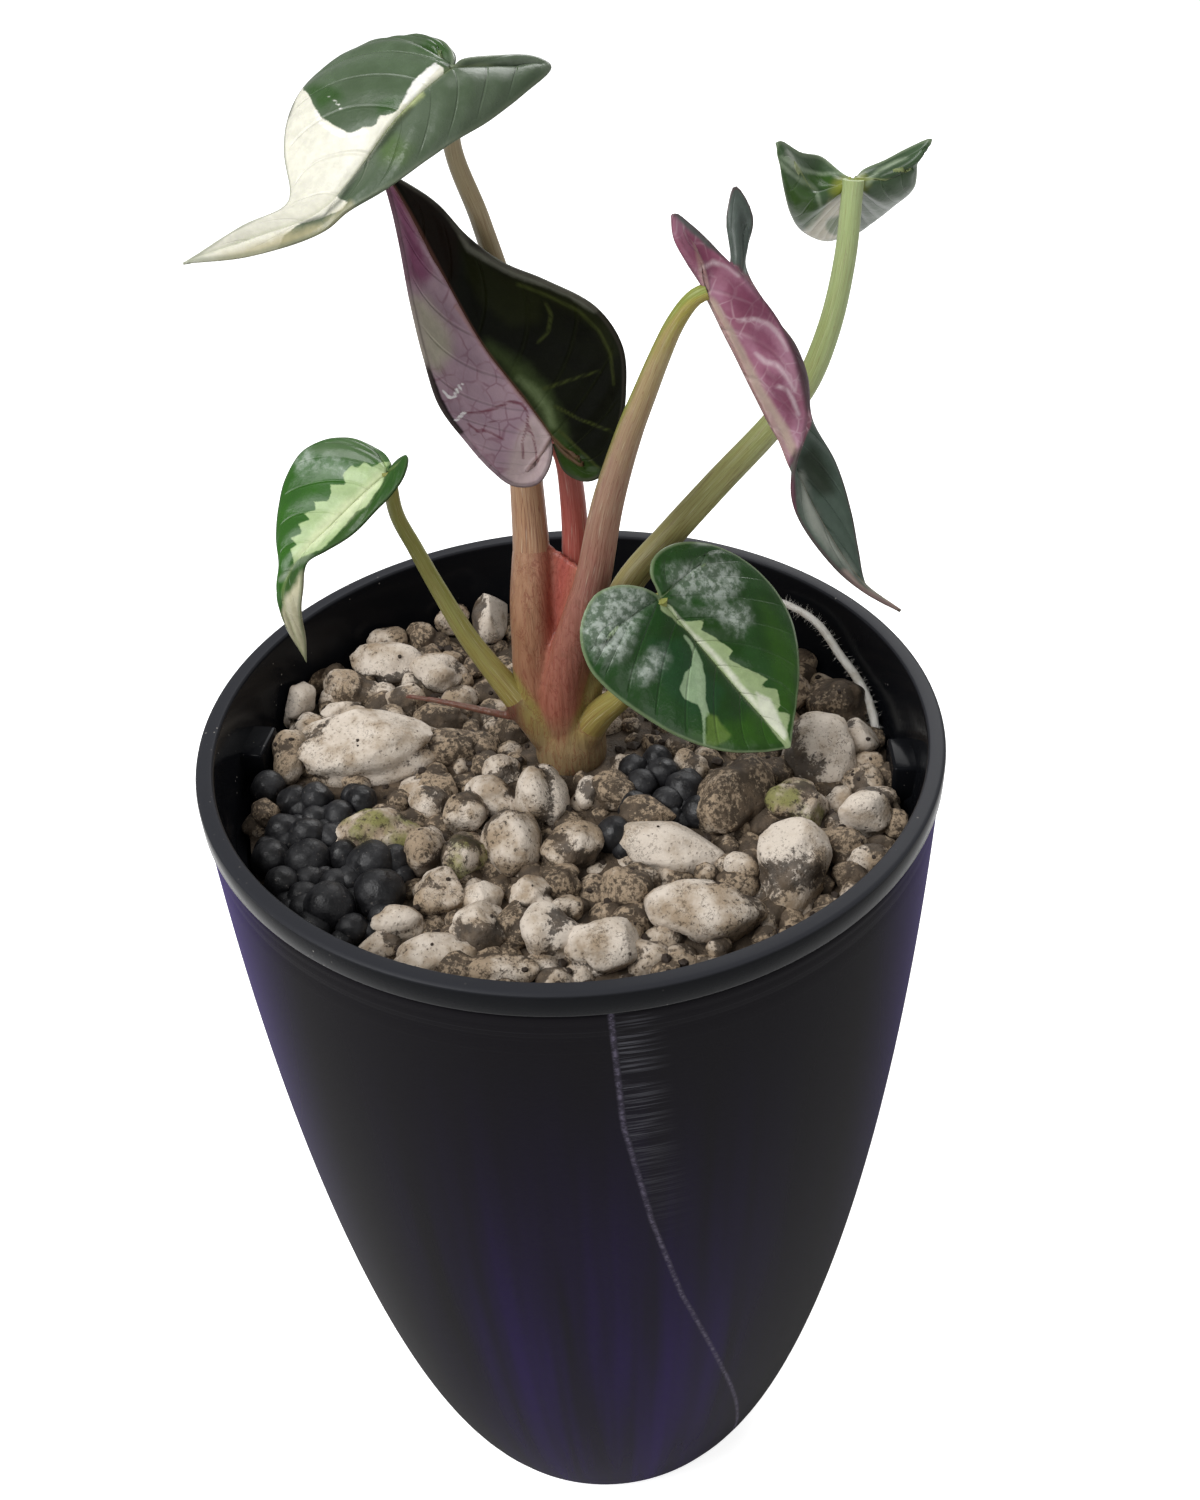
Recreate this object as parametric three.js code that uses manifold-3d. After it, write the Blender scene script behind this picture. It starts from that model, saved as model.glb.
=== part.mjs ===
// Potted bambino alocasia: a young aroid with six leaves, grown in pumice and
// black clay pellets in a liner pot that hangs by its rim in a tall cover pot.
// Millimetres, +Z up. The origin is the centre of the cover pot's flat foot.

import * as THREE from 'three';
import { mergeVertices } from 'three/addons/utils/BufferGeometryUtils.js';
import Module from 'manifold-3d';

const wasm = await Module();
wasm.setup();

// Driving dimensions
const GAP = 0.3;
const COVER_HEIGHT = 150.3;
const COVER_TOP_RADIUS = 49.6;
const COVER_FOOT_RADIUS = 25.8;
const COVER_BELLY = 1.91;
const COVER_ROUNDNESS = 1.61;
const COVER_WALL = 1.2;
const COVER_FLOOR = 3;
const RIM_RADIUS = 50;
const RIM_HEIGHT = 3.7;
const RIM_INNER_RADIUS = 47.6;
const LINER_WALL = 0.9;
const LINER_MOUTH_RADIUS = 48.1;
const LINER_STEP_Z = 141.7;
const LINER_STEP_RADIUS = 46.7;
const LINER_FOOT_RADIUS = 35;
const LINER_FOOT_Z = 66;
const LINER_FLOOR = 1.4;
const LINER_STEP_HEIGHT = 2;
const LINER_STEP_FLARE = 0.6;
const LINER_FOOT_BEVEL = 1.5;
const RIM_BEVEL = 0.5;
const DRAIN_RADIUS = 3.5;
const DRAIN_RING_RADIUS = 22;
const DRAIN_COUNT = 6;
const DRAIN_SIDES = 10;
const LUG_AZIMUTHS = [168, -3];
const LUG_DEPTH = 4.5;
const LUG_WIDTH = 7;
const LUG_HEIGHT = 6;
const LUG_Z = 144;
const LUG_INSET = 1.4;
const BED_TOP_Z = 142;
const BED_CEILING_Z = 152;
const POT_SIDES = 40;
const STEM_SIDES = 9;
const PETIOLE_STEPS = 13;
const SHEATH_STEPS = 5;
const ROOT_STEPS = 14;
const DRY_ROOT_STEPS = 8;
const FRAME_STEPS = 200;
const SHEATH_SHARE = 0.16;
const SHEATH_EXTRA = 0.5;
const BLADE_THICKNESS = 0.7;
const LOBE_ROWS = 3;
const BLADE_ROWS = 8;
const BLADE_COLUMNS = 3;
const LUMP_SEED = 29;
const LUMP_ROUGHNESS = 0.26;
const LUMP_LIFT = 1.2;
const LUMP_RISE = 0.28;
const LUMP_LENGTH = 0.95;
const LUMP_DEPTH = 0.92;
const SMALL_LUMP = 2.7;
const LARGE_LUMP = 4.9;
const COARSE_SWELL = 1.1;
const FILL_SEED = 71;
const FILL_SPOTS = 150;
const FILL_REACH = 43;
const FILL_SPACING = 1.7;
const FILL_SIZE = 2.5;
const FILL_SIZE_SPREAD = 1.1;
const FILL_LIFT = 0.4;
const FILL_LIFT_SPREAD = 0.9;
const GOLDEN_ANGLE = 2.39996;
const SMALL_PELLET = 2.8;
const PELLET_SWELL = 1.04;
const PELLET_RISE = 0.7;
const HEAP_CORE_HEIGHT = 2.6;

// Seeded draws, so every run places the same lumps and pellets

function seededRandom(seed) {
  let state = seed;
  return () => {
    state = (state * 1103515245 + 12345) % 2147483648;
    return state / 2147483648;
  };
}

// Solids: a geometry becomes a manifold for adding and cutting, and back

function solidOf(geometry) {
  const bare = geometry.clone();
  bare.deleteAttribute('normal');
  bare.deleteAttribute('uv');
  const merged = mergeVertices(bare, 1e-4);
  const index = [];
  const source = merged.index.array;
  for (let i = 0; i < source.length; i += 3) {
    const [a, b, c] = [source[i], source[i + 1], source[i + 2]];
    if (a !== b && b !== c && c !== a) index.push(a, b, c);
  }
  return new wasm.Manifold(new wasm.Mesh({
    numProp: 3,
    vertProperties: new Float32Array(merged.attributes.position.array),
    triVerts: new Uint32Array(index),
  }));
}

function geometryOf(solid) {
  const mesh = solid.getMesh();
  const geometry = new THREE.BufferGeometry();
  geometry.setAttribute('position', new THREE.BufferAttribute(new Float32Array(mesh.vertProperties), 3));
  geometry.setIndex(new THREE.BufferAttribute(new Uint32Array(mesh.triVerts), 1));
  geometry.computeVertexNormals();
  return geometry;
}

function union(solids) {
  return solids.reduce((sum, solid) => sum.add(solid));
}

function largestPiece(solid) {
  const pieces = solid.decompose();
  return pieces.reduce((best, piece) => (piece.volume() > best.volume() ? piece : best));
}

function turned(profile, sides = POT_SIDES) {
  const points = profile.map(([radius, z]) => new THREE.Vector2(radius, z));
  const geometry = new THREE.LatheGeometry(points, sides);
  geometry.rotateX(Math.PI / 2);
  return geometry;
}

function vectors(points) {
  return points.map(([x, y, z]) => new THREE.Vector3(x, y, z));
}

function smoothCurve(points) {
  return new THREE.CatmullRomCurve3(vectors(points), false, 'centripetal');
}

// Cover pot: a tall bullet-shaped shell on a flat foot

function coverRadius(z) {
  const depth = 1 - z / COVER_HEIGHT;
  const fullness = (1 - depth ** COVER_BELLY) ** (1 / COVER_ROUNDNESS);
  return COVER_FOOT_RADIUS + (COVER_TOP_RADIUS - COVER_FOOT_RADIUS) * fullness;
}

function coverPot() {
  const levels = [0, 1.2, 4, 10, 20, 34, 52, 74, 98, 124, COVER_HEIGHT];
  const outside = levels.map((z) => [coverRadius(z), z]);
  const inside = levels.slice(4).map((z) => [coverRadius(z) - COVER_WALL, z]).reverse();
  const floor = [[coverRadius(COVER_FLOOR) - COVER_WALL, COVER_FLOOR], [0, COVER_FLOOR]];
  return turned([[0, 0], ...outside, ...inside, ...floor]);
}

// Liner pot: a thin tapered pot that hangs by its rim band, with a stacking
// step, two stacking lugs and drain holes in its floor

function linerWallRadius(z) {
  const share = (z - LINER_FOOT_Z) / (LINER_STEP_Z - LINER_FOOT_Z);
  return LINER_FOOT_RADIUS + (LINER_STEP_RADIUS - LINER_FOOT_RADIUS) * share;
}

function linerPot() {
  const rimBase = COVER_HEIGHT + GAP;
  const rimTop = rimBase + RIM_HEIGHT;
  const stepFoot = LINER_STEP_Z - LINER_STEP_HEIGHT;
  const stepRadius = LINER_MOUTH_RADIUS - LINER_STEP_FLARE;
  const shell = solidOf(turned([
    [0, LINER_FOOT_Z],
    [LINER_FOOT_RADIUS - LINER_FOOT_BEVEL, LINER_FOOT_Z],
    [LINER_FOOT_RADIUS, LINER_FOOT_Z + LINER_FOOT_BEVEL],
    [linerWallRadius(stepFoot), stepFoot],
    [stepRadius, LINER_STEP_Z],
    [LINER_MOUTH_RADIUS, rimBase],
    [RIM_RADIUS - RIM_BEVEL, rimBase],
    [RIM_RADIUS, rimBase + RIM_BEVEL],
    [RIM_RADIUS, rimTop - RIM_BEVEL],
    [RIM_RADIUS - RIM_BEVEL, rimTop],
    [RIM_INNER_RADIUS + RIM_BEVEL, rimTop],
    [RIM_INNER_RADIUS, rimTop - RIM_BEVEL],
    [LINER_MOUTH_RADIUS - LINER_WALL, rimBase],
    [stepRadius - LINER_WALL, LINER_STEP_Z + LINER_WALL / 2],
    [linerWallRadius(stepFoot) - LINER_WALL, stepFoot + LINER_FLOOR],
    [LINER_FOOT_RADIUS - LINER_WALL, linerFloorZ() + 1],
    [LINER_FOOT_RADIUS - LINER_WALL - LINER_FOOT_BEVEL, linerFloorZ()],
    [0, linerFloorZ()],
  ]));
  const lugs = LUG_AZIMUTHS.map((degrees) => lugBlock(degrees, 0));
  const drains = [drainHole(0, 0)];
  for (let i = 0; i < DRAIN_COUNT; i += 1) {
    const angle = (i / DRAIN_COUNT) * Math.PI * 2;
    drains.push(drainHole(DRAIN_RING_RADIUS * Math.cos(angle), DRAIN_RING_RADIUS * Math.sin(angle)));
  }
  return union([shell, ...lugs]).subtract(union(drains));
}

function linerFloorZ() {
  return LINER_FOOT_Z + LINER_FLOOR;
}

function lugBlock(degrees, extra) {
  const block = new THREE.BoxGeometry(LUG_DEPTH, LUG_WIDTH + 2 * extra, LUG_HEIGHT + 2 * extra);
  block.translate(LINER_MOUTH_RADIUS - LINER_WALL - LUG_INSET - extra, 0, LUG_Z);
  block.rotateZ(THREE.MathUtils.degToRad(degrees));
  const reach = LINER_MOUTH_RADIUS - LINER_WALL / 2;
  const inside = new THREE.CylinderGeometry(reach, reach, 2 * LUG_HEIGHT, POT_SIDES);
  inside.rotateX(Math.PI / 2);
  inside.translate(0, 0, LUG_Z);
  return solidOf(block).intersect(solidOf(inside));
}

function drainHole(x, y) {
  const hole = new THREE.CylinderGeometry(DRAIN_RADIUS, DRAIN_RADIUS, 4 * LINER_FLOOR, DRAIN_SIDES);
  hole.rotateX(Math.PI / 2);
  hole.translate(x, y, LINER_FOOT_Z + LINER_FLOOR / 2);
  return solidOf(hole);
}

// Stems: a round tube along a smooth curve, its radius eased between values

function taperedTube(points, radii, steps, extra = () => 0, share = 1) {
  const curve = smoothCurve(points);
  const frames = curve.computeFrenetFrames(FRAME_STEPS, false);
  const radiusCurve = smoothCurve(radii.map((radius, i) => [radius, i, 0]));
  const positions = [];
  const index = [];
  for (let step = 0; step <= steps; step += 1) {
    const along = (step / steps) * share;
    const slot = Math.round(along * FRAME_STEPS);
    const centre = curve.getPointAt(along);
    const radius = radiusCurve.getPoint(along).x + extra(step / steps);
    for (let side = 0; side < STEM_SIDES; side += 1) {
      const angle = (side / STEM_SIDES) * Math.PI * 2;
      const spoke = frames.normals[slot].clone().multiplyScalar(Math.cos(angle) * radius);
      spoke.addScaledVector(frames.binormals[slot], Math.sin(angle) * radius);
      positions.push(...spoke.add(centre));
    }
  }
  for (let step = 0; step < steps; step += 1) {
    for (let side = 0; side < STEM_SIDES; side += 1) {
      const a = step * STEM_SIDES + side;
      const b = step * STEM_SIDES + ((side + 1) % STEM_SIDES);
      index.push(a, b, b + STEM_SIDES, a, b + STEM_SIDES, a + STEM_SIDES);
    }
  }
  const last = steps * STEM_SIDES;
  for (let side = 1; side < STEM_SIDES - 1; side += 1) {
    index.push(0, side + 1, side);
    index.push(last, last + side, last + side + 1);
  }
  return closedGeometry(positions, index);
}

function closedGeometry(positions, index) {
  const geometry = new THREE.BufferGeometry();
  geometry.setAttribute('position', new THREE.Float32BufferAttribute(positions, 3));
  geometry.setIndex(index);
  return geometry;
}

// Leaf blades. Each half runs from the attachment round its basal lobe to the
// tip. Rows join the lobe vein or the midrib to the margin, and a gentle bulge
// lifts the blade between them. Tip and shoulder say how many points past the
// sinus the lobe's own vein ends at, and how far past the lobe the side starts.

function leafRows(leaf, half) {
  const margin = [leaf.midrib[0], ...half.sinus, ...half.lobe, ...half.side, leaf.midrib.at(-1)];
  const edge = smoothCurve(margin);
  const lobeEnd = (half.sinus.length + half.tip) / (margin.length - 1);
  const shoulder = (half.sinus.length + half.lobe.length + half.shoulder) / (margin.length - 1);
  const vein = smoothCurve([leaf.midrib[0], ...half.vein]);
  const midrib = smoothCurve(leaf.midrib);
  const rows = [];
  for (let i = 0; i <= LOBE_ROWS; i += 1) {
    const t = i / LOBE_ROWS;
    rows.push([vein.getPoint(t), edge.getPoint(t * lobeEnd)]);
  }
  for (let i = 1; i <= LOBE_ROWS; i += 1) {
    const t = i / LOBE_ROWS;
    rows.push([vein.getPoint(1 - t), edge.getPoint(lobeEnd + t * (shoulder - lobeEnd))]);
  }
  for (let i = 1; i <= BLADE_ROWS; i += 1) {
    const t = i / BLADE_ROWS;
    rows.push([midrib.getPoint(t), edge.getPoint(shoulder + t * (1 - shoulder))]);
  }
  return rows;
}

function halfGrid(leaf, half) {
  const rows = leafRows(leaf, half);
  const widest = Math.max(...rows.map(([inner, outer]) => inner.distanceTo(outer)));
  const bulge = new THREE.Vector3(...half.bulge);
  return rows.map(([inner, outer]) => {
    const width = inner.distanceTo(outer) / widest;
    const line = [];
    for (let column = 0; column <= BLADE_COLUMNS; column += 1) {
      const v = column / BLADE_COLUMNS;
      const point = inner.clone().lerp(outer, v);
      line.push(point.addScaledVector(bulge, 4 * v * (1 - v) * width));
    }
    return line;
  });
}

function bladeSurface(leaf) {
  const vertices = [];
  const known = new Map();
  const faces = [];
  const vertexAt = (point) => {
    const key = [point.x, point.y, point.z].map((value) => value.toFixed(3)).join(' ');
    if (!known.has(key)) {
      known.set(key, vertices.length);
      vertices.push(point);
    }
    return known.get(key);
  };
  const addFace = (a, b, c) => {
    if (a !== b && b !== c && c !== a) faces.push([a, b, c]);
  };
  [leaf.left, leaf.right].forEach((half, isRight) => {
    const grid = halfGrid(leaf, half).map((line) => line.map(vertexAt));
    for (let row = 0; row + 1 < grid.length; row += 1) {
      for (let column = 0; column < BLADE_COLUMNS; column += 1) {
        const [a, b] = [grid[row][column], grid[row + 1][column]];
        const [d, c] = [grid[row][column + 1], grid[row + 1][column + 1]];
        if (isRight) {
          addFace(a, b, c);
          addFace(a, c, d);
        } else {
          addFace(a, c, b);
          addFace(a, d, c);
        }
      }
    }
  });
  return { vertices, faces };
}

function bladeGeometry(leaf) {
  const { vertices, faces } = bladeSurface(leaf);
  return thickened(vertices, faces, BLADE_THICKNESS);
}

function thickened(vertices, faces, thickness) {
  const normals = vertices.map(() => new THREE.Vector3());
  const edges = new Map();
  faces.forEach(([a, b, c]) => {
    const ab = vertices[b].clone().sub(vertices[a]);
    const ac = vertices[c].clone().sub(vertices[a]);
    const normal = ab.cross(ac);
    [a, b, c].forEach((corner) => normals[corner].add(normal));
    [[a, b], [b, c], [c, a]].forEach(([from, to]) => edges.set(`${from}_${to}`, [from, to]));
  });
  const positions = [];
  [0.5, -0.5].forEach((side) => vertices.forEach((vertex, i) => {
    positions.push(...vertex.clone().addScaledVector(normals[i].clone().normalize(), side * thickness));
  }));
  const under = vertices.length;
  const index = [];
  faces.forEach(([a, b, c]) => index.push(a, b, c, a + under, c + under, b + under));
  edges.forEach(([from, to]) => {
    if (!edges.has(`${to}_${from}`)) {
      index.push(from, from + under, to, to, from + under, to + under);
    }
  });
  return closedGeometry(positions, index);
}

// The six leaves, oldest at the front. Points run outward along the margin.

const LEAVES = {
  leaf_upper_left: {
    midrib: [[-8.2, 8, 236.7], [-11.2, 6, 235.2], [-14.8, 4, 232.6], [-19.6, 1.5, 227.8],
      [-23.4, -1, 225.1], [-29.7, -4, 224], [-37.1, -8, 223.2]],
    left: {
      vein: [[-8.5, 10, 235.8], [-9.3, 12, 237.2]],
      sinus: [[-7.9, 9.5, 237.3], [-8.4, 12, 237.7]],
      lobe: [[-9.5, 14, 237.9], [-12.7, 16.5, 237.8], [-16.4, 18, 237.1]],
      side: [[-20.5, 18.5, 235.7], [-24.7, 16, 233.6], [-26.7, 12.5, 231.4],
        [-27.3, 8.5, 228.7], [-26.7, 4.5, 225.9], [-27.1, 0.5, 225.4], [-31.4, -3.5, 225]],
      bulge: [-0.6, 0.7, 1.4],
      tip: 2,
      shoulder: 0.5,
    },
    right: {
      vein: [[-4.2, 10.3, 235.9], [-0.4, 12.2, 234.8]],
      sinus: [[-7.1, 9, 237.1], [-3.1, 11.5, 236.6], [0.7, 13.5, 235.7]],
      lobe: [[2.3, 13.4, 234.8], [-1.2, 8, 233.3], [-5.2, 4, 231.9]],
      side: [[-8.3, 1.5, 231.1], [-11.5, -0.5, 229.8], [-15.3, -2.5, 228.1], [-20.2, -4, 226.1],
        [-22.8, -4.5, 224.4], [-30.4, -6.5, 223]],
      bulge: [0.6, -0.4, 0.9],
      tip: 1,
      shoulder: 0,
    },
  },
  leaf_centre: {
    midrib: [[-0.1, 10, 191.6], [-3.1, 11.5, 196], [-7.8, 12.5, 203.1], [-11.8, 12.5, 212.2],
      [-14.8, 10.5, 220.3], [-17.1, 8, 226.6]],
    left: {
      vein: [[-1.6, 9, 189.6], [-3.3, 7.5, 188.4]],
      sinus: [[0, 9.3, 190.5], [-0.5, 7.5, 188.9]],
      lobe: [[-2.1, 6, 187.3], [-5, 5, 187.7], [-7.8, 4.5, 190.6]],
      side: [[-10.8, 4, 195.4], [-13.1, 4, 199.7], [-14.4, 5, 205.7], [-15.3, 6.5, 211.8],
        [-15.9, 8, 218.4], [-16.4, 8, 223]],
      bulge: [-0.8, 0.6, -0.4],
      tip: 2.5,
      shoulder: 0.5,
    },
    right: {
      vein: [[1.7, 8.5, 190.1], [3.5, 7, 189.2]],
      sinus: [[0.4, 9.5, 189.6], [1.4, 7.5, 187.7]],
      lobe: [[3.9, 6, 187.1], [6.7, 5.5, 188.8], [8.3, 5, 194.5]],
      side: [[9.1, 5, 199.7], [8.8, 5.5, 205.3], [5.9, 6.5, 209.7], [0.3, 8, 212.6],
        [-4.8, 9.5, 214.6], [-8.5, 10.5, 217.5], [-11.5, 10.5, 221.4], [-15.2, 9.5, 224.7]],
      bulge: [0.6, 1.2, 0.2],
      tip: 1,
      shoulder: 0.5,
    },
  },
  leaf_hanging_right: {
    midrib: [[17.8, -5, 215.7], [19.8, -5.6, 211.4], [22.4, -6, 205.9], [25.3, -6, 199.7],
      [28.1, -5.5, 193.7], [31.7, -6, 186.5], [36.8, -7, 178.2], [41.6, -8.5, 174.6]],
    left: {
      vein: [[16.7, -5.4, 219.4], [15.5, -5, 221.5]],
      sinus: [[17.2, -4.8, 216.6], [15.4, -6, 219.6], [14, -6.5, 222.6]],
      lobe: [[14, -6.4, 224.9], [16.5, -3.8, 222.3], [19.5, -3.8, 219.2]],
      side: [[22.9, -4, 215.5], [26, -3.4, 211], [28.3, -5.3, 206.2], [29.4, -5.1, 200.6],
        [28.7, -6.3, 197.1], [27.6, -7.7, 193.6], [28.1, -8, 189.2], [33.1, -9, 181.7],
        [37.3, -8.6, 177.5]],
      bulge: [-0.3, -0.5, 0.5],
      tip: 1.5,
      shoulder: 0,
    },
    right: {
      vein: [[22.1, 0.8, 215.4], [22.5, 4.7, 218]],
      sinus: [[19.7, -2, 215.3], [21.5, 3, 216.1], [21.1, 4.9, 220.3]],
      lobe: [[22.1, 6.5, 222.9], [24, 5.5, 219.9], [23, 4.2, 214.8]],
      side: [[25.7, 2.6, 209.9], [29.2, 3.7, 204.6], [30.4, 2, 201.4], [30.9, 0.2, 196.8],
        [33.5, -2.2, 192.3], [35.3, -4.5, 187], [36.4, -5.5, 181.9], [37.8, -6.5, 176.5]],
      bulge: [0.1, 0.1, 0.4],
      tip: 2,
      shoulder: 1,
    },
  },
  leaf_upper_right: {
    midrib: [[38.1, 20, 218.1], [38.9, 26, 214.7], [39.9, 33, 210.3], [40.9, 40, 205.4],
      [41.6, 46, 200.9]],
    left: {
      vein: [[34, 20.7, 216.6], [30.6, 18, 221.3]],
      sinus: [[37.2, 23, 217.9], [35, 25.2, 219.2], [31.8, 22, 221]],
      lobe: [[28.4, 18, 223.7], [29, 18, 220.7], [30.1, 20, 216.3]],
      side: [[32.2, 25, 211.3], [35.7, 33, 206.4], [39.3, 41, 202.6]],
      bulge: [-0.6, -0.8, -0.8],
      tip: 1,
      shoulder: 0.5,
    },
    right: {
      vein: [[41.8, 20.3, 218], [44.8, 19.6, 219.5]],
      sinus: [[39.7, 22, 218.5], [42.4, 22.5, 219.3], [44.8, 21.5, 220.9]],
      lobe: [[47.2, 20, 222.4], [45.8, 20.4, 220.2], [46.2, 23, 215.9]],
      side: [[45.1, 29, 211.3], [44.1, 36, 206.7], [43.2, 42, 203]],
      bulge: [0, -0.7, -0.9],
      tip: 2.5,
      shoulder: 0.5,
    },
  },
  leaf_left: {
    midrib: [[-20.9, 10, 187.9], [-24, 8.5, 186.1], [-28.4, 5.5, 183.4], [-32.5, 2.5, 180.7],
      [-34.9, 0.5, 177.3], [-34.9, 1.5, 171.4], [-34.2, 3, 164.4]],
    left: {
      vein: [[-21.7, 12, 188.2], [-22.8, 13, 188.6]],
      sinus: [[-20.6, 11, 188.5], [-21.4, 13, 188.8]],
      lobe: [[-23.1, 14.5, 189.2], [-25.9, 15.5, 190], [-29.2, 16, 189.7]],
      side: [[-32.3, 15.5, 188.4], [-34.5, 13, 186], [-35.4, 10, 183.7], [-35.7, 6.5, 181.4],
        [-35.3, 3, 179.5], [-36, 1, 176.4], [-35.8, 1.5, 171.4]],
      bulge: [-0.3, 0.2, 0.8],
      tip: 1,
      shoulder: 0,
    },
    right: {
      vein: [[-20, 9.5, 188.7], [-19.2, 9.5, 189.4]],
      sinus: [[-20.2, 10.5, 188.6], [-19.3, 10.5, 189.4]],
      lobe: [[-18.3, 10, 190], [-18.7, 7.5, 188.9], [-20.4, 6, 187.1]],
      side: [[-22.5, 4.5, 185.7], [-25.9, 2.5, 183.4], [-29, 1, 182.4], [-31.4, 0, 181.5],
        [-32.3, -1, 178.1], [-33.2, 0, 173.8], [-33.6, 2, 168.3]],
      bulge: [0.2, -0.2, 0.2],
      tip: 1,
      shoulder: 0,
    },
  },
  leaf_front: {
    midrib: [[12.5, 0.5, 172.7], [15.6, -0.4, 168.5], [19, -1.9, 164.2], [23.1, -4.3, 159.5],
      [26.5, -6.4, 155.9], [28.7, -8, 153.6]],
    left: {
      vein: [[8.3, -2.5, 171.8], [5.5, -5.8, 171.1]],
      sinus: [[12, 0.4, 173.4], [10, -0.3, 175.1], [6.6, -1.4, 176.2]],
      lobe: [[3.9, -2.5, 175.5], [2, -5.1, 172.4], [2.7, -7.6, 168.6]],
      side: [[4.8, -8.9, 165.9], [9, -10.4, 162.5], [13.9, -11.3, 159.1], [19.4, -11.1, 156.3],
        [24.5, -9.7, 154.6]],
      bulge: [0.2, -0.7, 0.7],
      tip: 2.5,
      shoulder: 0.5,
    },
    right: {
      vein: [[15.3, 2.5, 173.8], [18.9, 5.8, 174]],
      sinus: [[12.1, 0.7, 174], [11.4, 1.3, 175.9], [11.9, 3, 177.2]],
      lobe: [[14.6, 5.8, 177.3], [19.2, 8.6, 175.4], [24.2, 9.6, 172]],
      side: [[28.2, 8.7, 168], [30.6, 6.2, 163.9], [31.1, 2.2, 160], [30.3, -2.1, 157],
        [29.3, -5.7, 155.1]],
      bulge: [0.4, -0.8, 0.7],
      tip: 2,
      shoulder: 0.5,
    },
  },
};

// The six petioles, from the stem base to the notch of their leaf. Each stops
// short of the notch by the length in stop, so it meets the blade's underside.

const PETIOLES = {
  petiole_upper_left: {
    stop: 1.2,
    points: [[-1.5, 8.2, 147], [-3.9, 8.5, 153.4], [-4.2, 9, 161.6], [-4.2, 9.8, 167.5], [-3.7, 12, 174],
      [-3.7, 14.5, 181.7], [-3.8, 16.5, 193.6], [-4.4, 16.5, 205.7], [-6.8, 14, 218],
      [-9.1, 11, 227.7], [-8.3, 8.4, 236.4]],
    radii: [3, 2.8, 2.5, 2.1, 1.7, 1.3, 1.1, 0.9],
  },
  petiole_centre: {
    stop: 1.6,
    points: [[-0.4, 8.8, 147], [-0.8, 10.4, 153.5], [0.8, 12.4, 162.4], [2.1, 12.8, 171.6],
      [2.2, 13.4, 180.7], [1.6, 13.4, 186.7], [0.2, 12, 190.6], [-0.1, 10, 191.9]],
    radii: [2.8, 2.4, 2, 1.8, 1.6, 1.2],
  },
  petiole_hanging_right: {
    stop: 1.1,
    points: [[-0.4, 7, 147], [-0.9, 6.5, 152.9], [1, 6, 161.6], [4, 5.2, 172.5], [6.4, 2.8, 185.7],
      [9.2, 0.4, 196.5], [11.1, -1.2, 202.4], [12.8, -2.6, 207.5], [14.3, -3.8, 211.5],
      [15.8, -4.6, 214.2], [16.8, -5, 215.3], [17.8, -5, 215.7]],
    radii: [3, 2.7, 2.4, 2.1, 1.7, 1.3, 0.9],
  },
  petiole_upper_right: {
    stop: 1.9,
    points: [[1, 7.6, 147], [2.4, 7.6, 154], [5.2, 9.2, 161], [9, 11, 168.3], [14.9, 13, 174.4],
      [21.7, 14, 181.7], [28, 15, 188.1], [32.7, 16, 193.6], [35.5, 17, 200.4], [37.3, 18.3, 208.9],
      [38.1, 20, 218.1]],
    radii: [2.4, 2.1, 2, 1.9, 1.8, 1.6, 1.4, 1.3],
  },
  petiole_left: {
    stop: 1,
    points: [[-1, 7.2, 143.5], [-5.5, 7.2, 150.7], [-9, 8, 155.9], [-12.9, 9.5, 161.9], [-16.3, 11, 168.9],
      [-18.9, 11, 176], [-20.7, 10.5, 181.7], [-20.9, 10, 187.9]],
    radii: [2.6, 2.2, 1.6, 1.3, 1.1, 1, 0.9],
  },
  petiole_front: {
    stop: 1.9,
    points: [[0, 6.8, 143.5], [4.2, 4.5, 151.6], [7.9, 3, 156.2], [10.9, 2.2, 161.6], [12.3, 1.8, 166.9],
      [12.5, 0.5, 172.7]],
    radii: [2.6, 2.3, 1.8, 1.4, 1.2, 1],
  },
};

// Stem base: the short corm with the sheaths of all six petioles, and a thin
// dry root that lies on the pumice to its left

const CORM = { x: 0, y: 7.6, foot: 132, top: 152, radius: 4.6 };
const DRY_ROOT = [[-3, 7.4, 149], [-8.4, 7, 150.4], [-13.6, 8, 151.4], [-18.4, 10.4, 151.2],
  [-23, 12.6, 150.8]];
const DRY_ROOT_RADII = [0.7, 0.6, 0.5, 0.4];
const WHITE_ROOT = [[32.6, 31.9, 150.4], [35.4, 28.6, 150.6], [38, 25.2, 150], [40.8, 20.5, 147.2],
  [42.4, 17, 146], [43.6, 12, 144.6], [43.9, 8.4, 142.2], [42.6, 6.4, 138.6]];
const WHITE_ROOT_RADII = [0.5, 0.6, 0.65, 0.6];

function stemBase(extra) {
  const corm = turned([
    [0, CORM.foot - extra],
    [2.4 + extra, CORM.foot + 1],
    [CORM.radius + extra, CORM.foot + 8],
    [CORM.radius + 0.4 + extra, CORM.foot + 13],
    [3 + extra, CORM.top],
    [0, CORM.top + 1 + extra],
  ], 14);
  corm.translate(CORM.x, CORM.y, 0);
  const sheaths = Object.values(PETIOLES).map(({ points, radii }) => {
    const share = SHEATH_SHARE + extra / smoothCurve(points).getLength();
    const swell = (t) => SHEATH_EXTRA * (1 - t) + extra;
    return solidOf(taperedTube(points, radii, SHEATH_STEPS, swell, share));
  });
  const dryRoot = solidOf(taperedTube(DRY_ROOT, DRY_ROOT_RADII, DRY_ROOT_STEPS, () => extra));
  return union([solidOf(corm), ...sheaths, dryRoot]);
}

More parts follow.
